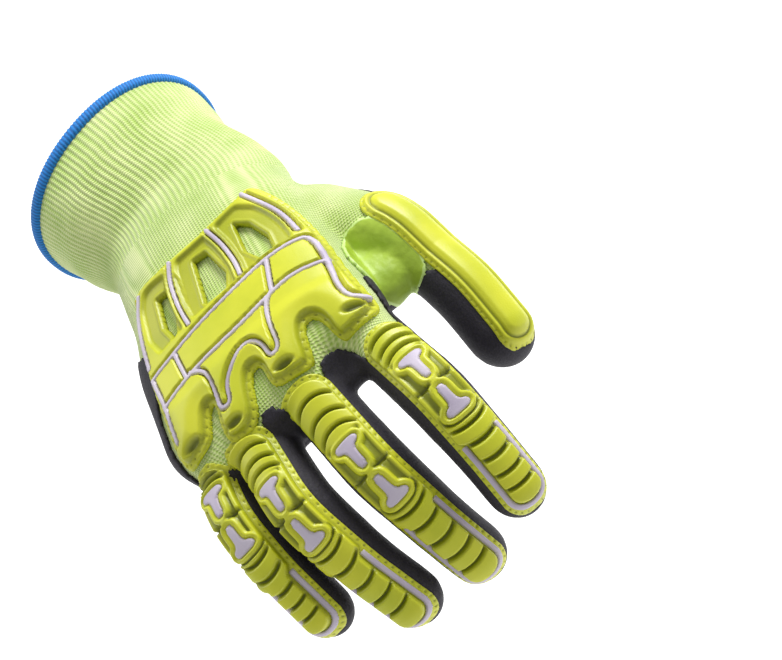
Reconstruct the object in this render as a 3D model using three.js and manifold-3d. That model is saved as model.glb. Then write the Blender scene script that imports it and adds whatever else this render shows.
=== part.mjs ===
// A knitted impact glove for the right hand, filled as it is on a hand: a seamless liner with a flared
// ribbed cuff, a bound hem, a dipped palm, a crotch patch, and moulded guards on the back and the digits.
// Millimetres. +X runs from the wrist to the fingers, +Y to the thumb's side, +Z out of the back of the hand.
// The origin is the middle of the wrist, where the arm enters the hand.
import * as THREE from "three";
import { mergeVertices } from "three/addons/utils/BufferGeometryUtils.js";
import Module from "manifold-3d";

const wasm = await Module();
wasm.setup();

// Driving dimensions
const cuffLength = 62; // wrist to the end of the knit
const mouthWidth = 86; // the flared mouth of the cuff, outside
const mouthHeight = 71;
const cuffYaw = 16; // the arm leans to the little finger's side, degrees
const cuffPitch = 5; // and a little up
const wristWidth = 74;
const wristHeight = 47;
const palmLength = 106; // wrist to the webs between the fingers
const palmWidth = 88; // across the knuckles, outside the knit
const palmHeight = 38; // through the palm, outside the knit
const fingerLength = 100; // knuckle joint to tip of the middle finger
const fingerWidth = 19.4; // the knit tube of a finger, outside
const fingerHeight = 17.6;
const knitWall = 1.6;
const coatWall = 1; // the dipped palm coating
const patchWall = 1.2;
const clearance = 0.3; // between any two pieces
const hemWidth = 4; // how far the bound edge reaches along the cuff
const hemWall = 0.9;
const bendReach = 9; // each joint's bend is spread this far either side of it
const webReach = 3; // the finger stalls are knitted on this far past the webs
const plateWall = 1.6; // the back guard's base plate
const padLift = 2.4; // its raised pads above the plate
const guardWidth = 18; // a digit guard, across its sewn flange
const flangeWidth = 2.6;
const flangeWall = 1.2;
const coreLift = 2.6; // the raised core of a digit guard above its flange
const coreBevel = 1.2;
const grooveDepth = 1.8; // the flex grooves across the core
const lineWidth = 1.8; // the pale accent lines
const lineWall = 0.8;
const boneReach = 11.5; // each bone-shaped inlay, from its middle joint to its knob
const boneWidth = 8.4;
const stemWidth = 2.8;
const boneWall = 0.9;

const { clamp, degToRad, lerp, radToDeg, smoothstep } = THREE.MathUtils;

// Sections of the cuff, from the wrist to its mouth. Along is a share of its length; width and height go
// from the wrist's size at 0 to the mouth's at 1; heel moves the section to the little finger's side.
const cuffSections = [
  { along: 0.02, width: 0, height: 0, heel: 0.04 },
  { along: 0.25, width: 0, height: 0.04, heel: 0.035 },
  { along: 0.5, width: 0.26, height: 0.36, heel: 0.02 },
  { along: 0.75, width: 0.66, height: 0.74, heel: 0 },
  { along: 1, width: 1, height: 1, heel: 0 },
];
// Sections of the hand, as shares of the palm's sizes, from the wrist to the webs.
const palmSections = [
  { along: 0.1, width: 0.87, height: 1.18, y: -0.03, z: 0, square: 2.3 },
  { along: 0.24, width: 0.91, height: 1.08, y: -0.02, z: -0.02, square: 2.4 },
  { along: 0.42, width: 0.945, height: 1, y: -0.005, z: -0.02, square: 2.5 },
  { along: 0.6, width: 0.97, height: 0.93, y: 0, z: 0, square: 2.5 },
  { along: 0.76, width: 1, height: 0.84, y: 0, z: 0, square: 2.5 },
  { along: 0.88, width: 0.97, height: 0.72, y: 0, z: -0.02, square: 2.5 },
  { along: 0.96, width: 0.9, height: 0.52, y: 0, z: -0.04, square: 2.5 },
  { along: 1, width: 0.8, height: 0.3, y: 0, z: -0.06, square: 2.4 },
];
// Where each digit's first joint is, as shares of the palm, how it leaves the hand and bends at its three
// joints (degrees), its bones as shares of the middle finger, its girth, and where its guard starts.
const digits = [
  {
    name: "index", x: 0.787, y: 0.36, z: 0, yaw: 15.9, pitch: 0, roll: -14,
    bends: [14.8, 27, 12.9], bones: [0.43, 0.245, 0.25], girth: 1, guard: 0.135, turn: 0,
  },
  {
    name: "middle", x: 0.816, y: 0.062, z: 0.1, yaw: 4.1, pitch: 0, roll: 5.4,
    bends: [25, 27.8, 12.9], bones: [0.466, 0.275, 0.26], girth: 1.03, guard: 0.08, turn: 0,
  },
  {
    name: "ring", x: 0.8, y: -0.188, z: 0.03, yaw: -5.5, pitch: 0, roll: 16.7,
    bends: [17, 31.4, 10.8], bones: [0.432, 0.259, 0.295], girth: 0.98, guard: 0.115, turn: 0,
  },
  {
    name: "little", x: 0.728, y: -0.385, z: -0.1, yaw: -8, pitch: 0, roll: 16,
    bends: [9.5, 25.5, 12.5], bones: [0.371, 0.216, 0.275], girth: 0.9, guard: 0.14, turn: 0,
  },
  {
    name: "thumb", x: 0.137, y: 0.32, z: -0.2, yaw: 40.8, pitch: 5.4, roll: -50,
    bends: [0, 34, 11], bones: [0.46, 0.34, 0.3], girth: 1.24, guard: 0.29, turn: -14,
  },
];
const fingers = digits.slice(0, 4);
const thumb = digits[4];
// A digit's girth along its length, before its round tip.
const fingerSections = [
  { along: -0.13, girth: 0.86 },
  { along: 0.06, girth: 1 },
  { along: 0.3, girth: 1.01 },
  { along: 0.42, girth: 1.04 },
  { along: 0.52, girth: 1.03 },
  { along: 0.66, girth: 0.98 },
  { along: 0.78, girth: 0.95 },
];
const thumbSections = [
  { along: -0.06, girth: 1.35 },
  { along: 0.12, girth: 1.5 },
  { along: 0.28, girth: 1.35 },
  { along: 0.44, girth: 1.1 },
  { along: 0.58, girth: 1 },
  { along: 0.72, girth: 1.02 },
];
const domeShare = 0.52; // a tip's dome, as a share of the digit's width
const domeTurns = [0, 32, 60, 80]; // the dome's rings, degrees round it
// The web between thumb and palm: sections from inside the thumb to inside the palm, as shares of the palm.
const webSections = [
  { x: 0.46, y: 0.5, z: -0.4, long: 0.14, high: 0.24 },
  { x: 0.52, y: 0.42, z: -0.34, long: 0.125, high: 0.25 },
  { x: 0.56, y: 0.3, z: -0.2, long: 0.14, high: 0.28 },
];
const digitSides = 10;
const handSides = 24;
const insideDigitSides = 8; // the inside of the knit needs fewer
const insideHandSides = 16;

// A ring of points round a section.
function superellipse(at, halfWidth, halfHeight, square, sides) {
  const ring = [];
  for (let i = 0; i < sides; i++) {
    const turn = (2 * Math.PI * (i + 0.5)) / sides;
    const across = Math.sign(Math.cos(turn)) * Math.abs(Math.cos(turn)) ** (2 / square);
    const upward = Math.sign(Math.sin(turn)) * Math.abs(Math.sin(turn)) ** (2 / square);
    const point = at.point.clone().addScaledVector(at.side, across * halfWidth);
    ring.push(point.addScaledVector(at.up, upward * halfHeight));
  }
  return ring;
}

// A closed body through rings of equally many points: a hoop, or a rod with a fan over each end.
function loft(rings, hoop = false) {
  const sides = rings[0].length;
  const points = rings.flat();
  const faces = [];
  for (let a = 0; a < points.length - (hoop ? 0 : sides); a++) {
    const b = a % sides === sides - 1 ? a + 1 - sides : a + 1;
    const [c, d] = [(b + sides) % points.length, (a + sides) % points.length];
    faces.push(a, b, c, a, c, d);
  }
  for (const first of hoop ? [] : [0, points.length - sides]) {
    const ring = points.slice(first, first + sides);
    const middle = ring.reduce((sum, point) => sum.add(point), new THREE.Vector3()).divideScalar(sides);
    points.push(middle);
    for (let i = 0; i < sides; i++) {
      const edge = [first + i, first + ((i + 1) % sides)];
      faces.push(...(first ? edge : edge.reverse()), points.length - 1);
    }
  }
  return new THREE.BufferGeometry().setFromPoints(points).setIndex(faces);
}

// Solids, for joining and cutting
function solidOf(geometry) {
  const bare = geometry.clone();
  for (const name of ["normal", "uv"]) bare.deleteAttribute(name);
  const merged = mergeVertices(bare, 1e-4);
  const vertProperties = new Float32Array(merged.attributes.position.array);
  const triVerts = new Uint32Array(merged.index.array);
  const solid = new wasm.Manifold(new wasm.Mesh({ numProp: 3, vertProperties, triVerts }));
  if (solid.volume() > 0) return solid;
  return new wasm.Manifold(new wasm.Mesh({ numProp: 3, vertProperties, triVerts: triVerts.toReversed() }));
}
const joined = (solids) => solids.reduce((a, b) => a.add(b));
const lofted = (rings, hoop) => solidOf(loft(rings, hoop));
// A thin sheet between two equal grids of points, closed all round its edge.
function sheet(outer, inner) {
  const [rows, columns] = [outer.length, outer[0].length];
  const points = [...outer.flat(), ...inner.flat()];
  const under = rows * columns;
  const faces = [];
  const quad = (a, b, c, d) => faces.push(a, b, c, a, c, d);
  for (let r = 0; r + 1 < rows; r++)
    for (let i = r * columns; i + 1 < (r + 1) * columns; i++) {
      quad(i, i + 1, i + 1 + columns, i + columns);
      quad(under + i + columns, under + i + 1 + columns, under + i + 1, under + i);
    }
  const edge = [];
  for (let i = 0; i < columns; i++) edge.push(i);
  for (let r = 1; r < rows; r++) edge.push(r * columns + columns - 1);
  for (let i = columns - 2; i >= 0; i--) edge.push((rows - 1) * columns + i);
  for (let r = rows - 2; r > 0; r--) edge.push(r * columns);
  edge.forEach((a, i) => {
    const b = edge[(i + 1) % edge.length];
    quad(b, a, under + a, under + b);
  });
  return solidOf(new THREE.BufferGeometry().setFromPoints(points).setIndex(faces));
}
const prism = (shape, low, high) =>
  solidOf(new THREE.ExtrudeGeometry(shape, { depth: high - low, bevelEnabled: false }).translate(0, 0, low));

// The bent line down the middle of a digit, with its directions at a distance s from the first joint.
function lineOf(digit) {
  const [first, second, third] = digit.bones.map((share) => share * fingerLength);
  const joints = [0, first, first + second];
  const turn = new THREE.Euler(degToRad(digit.roll), degToRad(digit.pitch), degToRad(digit.yaw), "ZYX");
  const base = new THREE.Vector3(digit.x * palmLength, digit.y * palmWidth, digit.z * palmHeight);
  const bendAt = (s) => {
    const share = (joint) => smoothstep(s, joint - bendReach, joint + bendReach);
    return degToRad(joints.reduce((sum, joint, i) => sum + digit.bends[i] * share(joint), 0));
  };
  const at = (s) => {
    const steps = Math.max(1, Math.ceil(Math.abs(s)));
    const point = new THREE.Vector3();
    for (let i = 0; i < steps; i++) {
      const bend = bendAt(((i + 0.5) * s) / steps);
      point.x += (s / steps) * Math.cos(bend);
      point.z -= (s / steps) * Math.sin(bend);
    }
    const bend = bendAt(s);
    return {
      point: point.applyEuler(turn).add(base),
      side: new THREE.Vector3(0, 1, 0).applyEuler(turn),
      up: new THREE.Vector3(Math.sin(bend), 0, Math.cos(bend)).applyEuler(turn),
    };
  };
  return { at, joints, length: first + second + third };
}

// A digit with its line, the place where its stall is knitted on, and its knit's half sizes at s.
for (const digit of digits) {
  digit.line = lineOf(digit);
  digit.sections = digit === thumb ? thumbSections : fingerSections;
  digit.dome = domeShare * digit.girth * fingerWidth;
  digit.domeStart = digit.line.length - digit.dome;
  digit.root = digit === thumb ? 0.6 * digit.line.length : 0;
  while (digit !== thumb && digit.line.at(digit.root).point.x < palmLength + webReach) digit.root += 0.5;
  const middles = digit.sections.map(({ along }) => along * digit.line.length);
  digit.rings = [...middles.filter((s) => Math.abs(s - digit.root) > 1.5), digit.root].sort((a, b) => a - b);
  digit.half = (s) => {
    const share = Math.min(s, digit.domeStart) / digit.line.length;
    const next = digit.sections.findIndex((row) => row.along >= share);
    const b = digit.sections.at(next < 0 ? -1 : next);
    const a = digit.sections.at(next < 0 ? -2 : Math.max(0, next - 1));
    const part = b === a ? 0 : clamp((share - a.along) / (b.along - a.along), 0, 1);
    const round = s > digit.domeStart ? Math.sqrt(Math.max(0, 1 - ((s - digit.domeStart) / digit.dome) ** 2)) : 1;
    const girth = (lerp(a.girth, b.girth, part) * digit.girth * round) / 2;
    return { width: girth * fingerWidth, height: girth * fingerHeight };
  };
}

// A digit's form from one place to another, or to its round tip.
const digitSquare = 2.15;
function digitRings(digit, grow, sides, from = -Infinity, to = Infinity) {
  const rings = [];
  const ringAt = (s, width, height, share) => {
    const ring = superellipse(digit.line.at(s), (width + grow) * share, (height + grow) * share, digitSquare, sides);
    rings.push({ s, ring });
  };
  const ends = [from, to].filter(Number.isFinite);
  const plain = [...digit.rings.filter((s) => s > from + 1 && s < to - 1), ...ends].sort((a, b) => a - b);
  for (const s of plain) ringAt(s, digit.half(s).width, digit.half(s).height, 1);
  if (to < Infinity) return rings;
  const { width, height } = digit.half(digit.domeStart);
  for (const turn of domeTurns.map(degToRad))
    ringAt(digit.domeStart + (digit.dome + grow) * Math.sin(turn), width, height, Math.cos(turn));
  return rings;
}
const digitSolid = (...where) => lofted(digitRings(...where).map(({ ring }) => ring));

// The cuff's section at a share of its length: its line leans over smoothly from the wrist.
function cuffSection(row, grow, sides, overrun = 0) {
  const lean = smoothstep(row.along, 0, 0.7);
  const turn = new THREE.Euler(0, degToRad(cuffPitch * lean), degToRad(cuffYaw * lean), "ZYX");
  const back = new THREE.Vector3(-1, 0, 0).applyEuler(turn);
  const at = {
    point: back.clone().multiplyScalar(row.along * cuffLength + overrun),
    side: new THREE.Vector3(0, 1, 0).applyEuler(turn),
    up: new THREE.Vector3(0, 0, 1).applyEuler(turn),
  };
  at.point.addScaledVector(at.side, -row.heel * mouthWidth);
  const halfWidth = lerp(wristWidth, mouthWidth, row.width) / 2 + grow;
  const halfHeight = lerp(wristHeight, mouthHeight, row.height) / 2 + grow;
  return superellipse(at, halfWidth, halfHeight, 2.15, sides);
}
const wristRow = cuffSections[0];
const mouthRow = cuffSections.at(-1);
// A ring round the cuff near its mouth: on the line from the section before it, so it follows the knit.
function hemRing(grow, past) {
  const before = cuffSections.at(-2);
  const share = 1 + past / ((mouthRow.along - before.along) * cuffLength);
  const mouth = cuffSection(mouthRow, grow, handSides, Math.max(past, 0));
  if (past > 0) return mouth;
  return cuffSection(before, grow, handSides).map((point, i) => point.lerp(mouth[i], share));
}
// The overruns run past the wrist and past the mouth.
function cuffSolid(grow, sides, wristOverrun, mouthOverrun) {
  const rings = cuffSections.toReversed().map((row) => cuffSection(row, grow, sides));
  if (mouthOverrun) rings.unshift(cuffSection(mouthRow, grow, sides, mouthOverrun));
  rings.push(cuffSection({ ...wristRow, along: 0 }, grow, sides, -wristOverrun));
  return lofted(rings);
}
function palmSolid(grow, sides, wristOverrun) {
  const rings = [cuffSection({ ...wristRow, along: 0 }, grow, sides, wristOverrun)];
  for (const row of palmSections) {
    const past = row.along === 1 ? grow : 0;
    const at = {
      point: new THREE.Vector3(row.along * palmLength + past, row.y * palmWidth, row.z * palmHeight),
      side: new THREE.Vector3(0, 1, 0),
      up: new THREE.Vector3(0, 0, 1),
    };
    const half = [(row.width * palmWidth) / 2 + grow, (row.height * palmHeight) / 2 + grow];
    rings.push(superellipse(at, ...half, row.square, sides));
  }
  return lofted(rings);
}
function webSolid(grow) {
  const rings = webSections.map((row) => {
    const at = {
      point: new THREE.Vector3(row.x * palmLength, row.y * palmWidth, row.z * palmHeight),
      side: new THREE.Vector3(1, 0, 0),
      up: new THREE.Vector3(0, 0, 1),
    };
    return superellipse(at, row.long * palmLength + grow, row.high * palmHeight + grow, 2.2, 12);
  });
  return lofted(rings);
}

// The hand and its digits as one form, grown all over.
const forms = new Map();
function handForm(grow) {
  if (!forms.has(grow)) {
    const tubes = digits.map((digit) => digitSolid(digit, grow, digitSides));
    forms.set(grow, joined([palmSolid(grow, handSides, 0), webSolid(grow), ...tubes]));
  }
  return forms.get(grow);
}
const skin = (low, high) => handForm(high).subtract(handForm(low));

// Materials
const finish = (color, roughness) => new THREE.MeshStandardMaterial({ color, roughness, metalness: 0 });
const knit = finish(0xc3e88a, 0.9);
const hemThread = finish(0x1f6db0, 0.8);
const coating = finish(0x2a2833, 0.75);
const patchFilm = finish(0x8dbb2a, 0.6);
const guardRubber = finish(0xc8cf1e, 0.5);
const inlayRubber = finish(0xcdc3d7, 0.5);

const glove = new THREE.Group();
function add(name, solid, material) {
  const { vertProperties, triVerts } = solid.getMesh();
  const geometry = new THREE.BufferGeometry();
  geometry.setAttribute("position", new THREE.BufferAttribute(vertProperties, 3));
  geometry.setIndex(new THREE.BufferAttribute(triVerts, 1));
  geometry.computeVertexNormals();
  const mesh = new THREE.Mesh(geometry, material);
  mesh.name = name;
  glove.add(mesh);
}

// The liner: a cuff, a hand and five stalls, each hollow and open where it meets the next.
const seam = clearance / 2;
const overrun = 2; // a hollow's cutter runs this far past an open end
const cuffHollow = cuffSolid(-knitWall, handSides, overrun, overrun);
add("knit_cuff", cuffSolid(0, handSides, -seam, 0).subtract(cuffHollow), knit);
const rootsTo = (grow, sides, past) => digits.map((digit) => digitSolid(digit, grow, sides, -Infinity, digit.root + past));
const handOutside = joined([palmSolid(0, handSides, -seam), webSolid(0), ...rootsTo(0, digitSides, -seam)]);
const handInside = joined([
  palmSolid(-knitWall, insideHandSides, overrun),
  webSolid(-knitWall),
  ...rootsTo(-knitWall, insideDigitSides, overrun),
]);
add("knit_hand", handOutside.subtract(handInside), knit);
for (const digit of digits) {
  const outside = digitSolid(digit, 0, digitSides, digit.root + seam);
  const inside = digitSolid(digit, -knitWall, insideDigitSides, digit.root - overrun);
  add("knit_" + digit.name, outside.subtract(inside), knit);
}

// The bound edge folds over the mouth of the cuff: a hoop whose section is a channel.
const hemInner = -knitWall - clearance;
const hemSections = [
  [clearance + hemWall, -hemWidth],
  [clearance + hemWall, clearance + hemWall],
  [hemInner - hemWall, clearance + hemWall],
  [hemInner - hemWall, -hemWidth],
  [hemInner, -hemWidth],
  [hemInner, clearance],
  [clearance, clearance],
  [clearance, -hemWidth],
].map(([grow, past]) => hemRing(grow, past));
add("cuff_hem", lofted(hemSections[0].map((_, i) => hemSections.map((ring) => ring[i])), true), hemThread);

// A point on a digit's knit, grown, turned some degrees from the middle of its back, on the knit's facets.
function onDigit(digit, s, turn, grow) {
  const { width, height } = digit.half(s);
  const ring = superellipse(digit.line.at(s), width + grow, height + grow, digitSquare, digitSides);
  const place = ((90 - turn) / 360) * digitSides - 0.5;
  const a = Math.floor(place);
  const corner = (i) => ring[(i + digitSides) % digitSides];
  return corner(a).clone().lerp(corner(a + 1), place - a);
}
const turnFor = (digit, s, across) => {
  const { width, height } = digit.half(s);
  return radToDeg(across / ((width + height) / 2 + clearance));
};

// A finger guard's stations, in the stretch before its inlays, beside them and after them. Along is a
// share of that stretch, full says how high the core stands, and bow how far the middle of a rib runs
// ahead of its ends, as a share of the stretch too. Three ribs, a plain stretch, then three grooves and a
// pad at the tip.
const rearStations = [
  { along: 0.16, full: 0.2, bow: 0 },
  { along: 0.32, full: 0.95, bow: -0.08 },
  { along: 0.46, full: 0.1, bow: -0.12 },
  { along: 0.6, full: 1, bow: -0.13 },
  { along: 0.73, full: 0.1, bow: -0.13 },
  { along: 0.85, full: 1, bow: -0.12 },
  { along: 0.95, full: 0.1, bow: -0.1 },
];
const inlayStations = [
  { along: 0.04, full: 1, bow: -0.04 },
  { along: 0.5, full: 1, bow: 0 },
  { along: 0.97, full: 1, bow: 0.04 },
];
const frontStations = [
  { along: 0.04, full: 0.1, bow: 0.05 },
  { along: 0.15, full: 1, bow: 0.05 },
  { along: 0.25, full: 0.1, bow: 0.05 },
  { along: 0.35, full: 1, bow: 0.05 },
  { along: 0.45, full: 0.1, bow: 0.05 },
  { along: 0.54, full: 1, bow: 0.05 },
  { along: 0.63, full: 0.1, bow: 0.04 },
  { along: 0.72, full: 1, bow: 0.03 },
  { along: 0.9, full: 0.9, bow: 0 },
];
const thumbStations = [0.08, 0.14, 0.26, 0.36, 0.45, 0.55, 0.68, 0.8, 0.9].map((along) => ({
  along,
  full: along < 0.1 ? 0.3 : 1,
  bow: 0,
}));
const endShare = 0.14; // a guard's first and last rings, as a share of its half width from its ends
const knitTurns = [-72, -36, 0, 36, 72]; // the knit's corners that a guard may lie over
const steepest = 66; // no guard reaches further round its digit, degrees
for (const digit of digits) {
  digit.guardStart = digit.guard * fingerLength;
  digit.guardEnd = digit.domeStart + 0.93 * digit.dome;
  digit.guardHalf = (guardWidth * Math.min(digit.girth, 1.1)) / 2;
  // The guard's half width at s, with round ends.
  digit.guardReach = (s) => {
    const near = clamp(Math.min(s - digit.guardStart, digit.guardEnd - s) / digit.guardHalf, 0, 1);
    return digit.guardHalf * Math.sqrt(1 - (1 - near) ** 2);
  };
}
const flangeTop = clearance + flangeWall;
const coreTop = flangeTop + coreLift;

function guardRing(digit, s, full, bow) {
  const reach = digit.guardReach(s);
  const edge = Math.min(turnFor(digit, s, reach), steepest);
  const coreFoot = (edge * Math.max(reach - flangeWidth, 0.6)) / reach;
  const coreEdge = (edge * Math.max(reach - flangeWidth - coreBevel, 0.3)) / reach;
  const top = coreTop - (1 - full) * grooveDepth;
  const ahead = s + bow;
  const outside = [
    [edge, flangeTop, s],
    [coreFoot, flangeTop, s],
    [coreEdge, top, s],
    [coreEdge * 0.45, top, ahead],
    [-coreEdge * 0.45, top, ahead],
    [-coreEdge, top, s],
    [-coreFoot, flangeTop, s],
    [-edge, flangeTop, s],
  ];
  const low = digit.turn - edge;
  const high = digit.turn + edge;
  const beneath = knitTurns.filter((turn) => Math.abs(turn - digit.turn) < steepest);
  const inset = (i) => 0.05 * edge * (i + 1);
  const corners = beneath.map((turn, i) => clamp(turn, low + inset(i), high - inset(beneath.length - i)));
  return [
    ...outside.map(([turn, grow, place]) => onDigit(digit, place, turn + digit.turn, grow)),
    ...[low, ...corners, high].map((turn) => onDigit(digit, s, turn, clearance)),
  ];
}
const stationAt = ({ along, full, bow }, start, end) => ({ s: lerp(start, end, along), full, bow: bow * (end - start) });
function guardStations(digit) {
  const { guardStart, guardEnd, guardHalf } = digit;
  const inlay = digit.line.joints[1];
  const stretches = [[guardStart, inlay - boneReach], [inlay - boneReach, inlay + boneReach], [inlay + boneReach, guardEnd]];
  const tables = [rearStations, inlayStations, frontStations];
  const stations = digit === thumb
    ? thumbStations.map((row) => stationAt(row, guardStart, guardEnd))
    : tables.flatMap((table, i) => table.map((row) => stationAt(row, ...stretches[i])));
  const end = { full: 0, bow: 0 };
  const first = { s: guardStart + endShare * guardHalf, ...end };
  const all = [first, ...stations, { s: guardEnd - endShare * guardHalf, ...end }];
  // The knit turns at its own rings, so the guard has a station over each of them too.
  for (const s of [...digit.rings, digit.domeStart].filter((ring) => ring > first.s && ring < all.at(-1).s)) {
    const i = all.findIndex((station) => station.s > s);
    const [before, after] = [all[i - 1], all[i]];
    const nearest = s - before.s < after.s - s ? before : after;
    const share = (s - before.s) / (after.s - before.s);
    if (Math.abs(nearest.s - s) < snap) nearest.s = s;
    else all.splice(i, 0, { s, full: lerp(before.full, after.full, share), bow: lerp(before.bow, after.bow, share) });
  }
  return all;
}
const snap = 0.7; // a station this near a ring of the knit moves onto it
const overPalm = palmSolid(clearance, handSides, 0);
for (const digit of digits) {
  digit.grown = digitSolid(digit, clearance, digitSides);
  const rings = guardStations(digit).map(({ s, full, bow }) => guardRing(digit, s, full, bow));
  // The thumb's guard also lies in the hollow of a bend, where the knit stands proud of it.
  add(digit.name + "_guard", lofted(rings).subtract(digit === thumb ? digit.grown : overPalm), guardRubber);
}

// Bone-shaped inlays lie end to end over each finger's middle joint: a stem with a knob at its far end.
const boneStations = [
  { along: 0.06, width: stemWidth },
  { along: 0.55, width: stemWidth },
  { along: 0.72, width: boneWidth * 0.8 },
  { along: 0.86, width: boneWidth },
  { along: 1, width: boneWidth * 0.7 },
];
function boneSolid(digit, way) {
  const low = coreTop + clearance;
  return lofted(boneStations.map(({ along, width }) => {
    const s = digit.line.joints[1] + way * along * (boneReach - 1.5);
    const turn = turnFor(digit, s, (width / 2) * 0.8);
    const across = (grow) => [-turn, 0, turn].map((part) => onDigit(digit, s, part, grow));
    return [...across(low), ...across(low + boneWall).reverse()];
  }));
}
for (const digit of fingers) {
  add(digit.name + "_bone_rear", boneSolid(digit, -1), inlayRubber);
  add(digit.name + "_bone_front", boneSolid(digit, 1), inlayRubber);
}

// The back guard, seen from above, as shares of the palm: down the index side, round the four lobes over
// the knuckles, and back along the cuff.
const guardOutline = [
  { x: 0.12, y: 0.312 }, { x: 0.225, y: 0.38 }, { x: 0.36, y: 0.425 }, { x: 0.52, y: 0.445 },
  { x: 0.68, y: 0.455 }, { x: 0.84, y: 0.48 }, { x: 0.885, y: 0.455 }, { x: 0.91, y: 0.34 },
  { x: 0.895, y: 0.3 }, { x: 0.81, y: 0.285 }, { x: 0.79, y: 0.25 }, { x: 0.81, y: 0.217 },
  { x: 0.905, y: 0.178 }, { x: 0.92, y: 0.137 }, { x: 0.912, y: 0.01 }, { x: 0.885, y: -0.008 },
  { x: 0.82, y: 0 }, { x: 0.81, y: -0.03 }, { x: 0.84, y: -0.062 }, { x: 0.953, y: -0.12 },
  { x: 0.953, y: -0.25 }, { x: 0.915, y: -0.278 }, { x: 0.81, y: -0.232 }, { x: 0.805, y: -0.258 },
  { x: 0.845, y: -0.29 }, { x: 0.892, y: -0.325 }, { x: 0.896, y: -0.455 }, { x: 0.858, y: -0.488 },
  { x: 0.717, y: -0.46 }, { x: 0.53, y: -0.443 }, { x: 0.34, y: -0.415 }, { x: 0.19, y: -0.352 },
  { x: 0.165, y: -0.318 }, { x: 0.184, y: -0.136 }, { x: 0.184, y: 0.068 }, { x: 0.146, y: 0.25 },
];
// Three windows cut through it show the knit.
const guardWindows = [
  [{ x: 0.245, y: 0.193 }, { x: 0.32, y: 0.233 }, { x: 0.425, y: 0.267 }, { x: 0.439, y: 0.233 }, { x: 0.377, y: 0.193 }],
  [{ x: 0.283, y: -0.017 }, { x: 0.292, y: 0.023 }, { x: 0.4, y: 0.051 }, { x: 0.462, y: 0.028 }, { x: 0.453, y: -0.062 }],
  [{ x: 0.292, y: -0.232 }, { x: 0.302, y: -0.196 }, { x: 0.387, y: -0.21 }, { x: 0.476, y: -0.245 }, { x: 0.4, y: -0.267 }],
];
// Pale lines on it: one up each finger's column from the cuff, and a band with its branches over the knuckles.
const columnLines = {
  index: [{ x: 0.16, y: 0.267 }, { x: 0.245, y: 0.318 }, { x: 0.33, y: 0.358 }, { x: 0.434, y: 0.375 }],
  middle: [{ x: 0.205, y: 0.08 }, { x: 0.3, y: 0.108 }, { x: 0.4, y: 0.119 }, { x: 0.47, y: 0.114 }],
  ring: [{ x: 0.205, y: -0.119 }, { x: 0.274, y: -0.153 }, { x: 0.387, y: -0.17 }, { x: 0.49, y: -0.165 }],
  little: [{ x: 0.205, y: -0.3 }, { x: 0.278, y: -0.352 }, { x: 0.387, y: -0.386 }, { x: 0.49, y: -0.403 }],
};
const bandLines = [
  [
    { x: 0.542, y: -0.41 }, { x: 0.542, y: -0.273 }, { x: 0.51, y: 0.062 }, { x: 0.486, y: 0.227 },
    { x: 0.476, y: 0.34 }, { x: 0.481, y: 0.4 }, { x: 0.623, y: 0.41 }, { x: 0.79, y: 0.395 }, { x: 0.825, y: 0.45 },
  ],
  [
    { x: 0.679, y: -0.41 }, { x: 0.665, y: -0.273 }, { x: 0.656, y: 0.011 }, { x: 0.632, y: 0.17 },
    { x: 0.613, y: 0.273 }, { x: 0.623, y: 0.41 },
  ],
  [{ x: 0.542, y: -0.273 }, { x: 0.665, y: -0.273 }],
  [{ x: 0.486, y: 0.227 }, { x: 0.623, y: 0.188 }],
  [{ x: 0.542, y: -0.41 }, { x: 0.679, y: -0.41 }, { x: 0.81, y: -0.435 }],
  [
    { x: 0.623, y: 0.188 }, { x: 0.651, y: 0.142 }, { x: 0.731, y: 0.119 }, { x: 0.821, y: 0.108 },
    { x: 0.83, y: 0.057 }, { x: 0.77, y: 0.057 }, { x: 0.731, y: 0.023 }, { x: 0.731, y: -0.034 },
    { x: 0.759, y: -0.091 }, { x: 0.802, y: -0.148 }, { x: 0.858, y: -0.165 }, { x: 0.853, y: -0.216 },
    { x: 0.8, y: -0.199 }, { x: 0.74, y: -0.188 }, { x: 0.693, y: -0.199 }, { x: 0.66, y: -0.25 },
  ],
];
const onPalm = (rows) => rows.map(({ x, y }) => new THREE.Vector2(x * palmLength, y * palmWidth));
const above = 60; // upright cutters reach this far over the hand
const upright = (points) => prism(new THREE.Shape(points), 0, above);
// The points of a line moved sideways, mitred at its corners; a loop comes back to its start.
function aside(points, distance, isLoop) {
  const n = points.length;
  const normal = (i) => {
    const a = points[(i + n) % n];
    const b = points[(i + 1) % n];
    return new THREE.Vector2(a.y - b.y, b.x - a.x).normalize();
  };
  return points.map((point, i) => {
    const before = normal(isLoop || i > 0 ? i - 1 : 0);
    const after = normal(isLoop || i < n - 1 ? i : n - 2);
    const mitre = before.add(after).normalize();
    return mitre.multiplyScalar(distance / Math.max(mitre.dot(after), 0.6)).add(point);
  });
}
// An upright strip along a line of points.
function strip(points, width) {
  const [left, right] = [width / 2, -width / 2].map((distance) => aside(points, distance, false));
  return joined(left.slice(1).map((corner, i) => upright([left[i], corner, right[i + 1], right[i]])));
}
const outline = onPalm(guardOutline);
const guardPrint = upright(outline);
const rimWidth = 2;
const plateTop = clearance + plateWall;
const padTop = plateTop + padLift;
const lines = [...Object.values(columnLines), ...bandLines].map(onPalm);
const channels = joined(lines.map((points) => strip(points, lineWidth + 2 * clearance)));
const windows = joined(guardWindows.map((rows) => upright(onPalm(rows))));
const pads = upright(aside(outline, -rimWidth, true)).subtract(channels);
const bonded = 0.2; // the pads are moulded into the plate by this much
const plate = skin(clearance, plateTop).intersect(guardPrint);
const raised = skin(plateTop - bonded, padTop).intersect(pads);
add("back_guard", plate.add(raised).subtract(windows), guardRubber);
const lineSkin = skin(plateTop + clearance, padTop);
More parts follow.
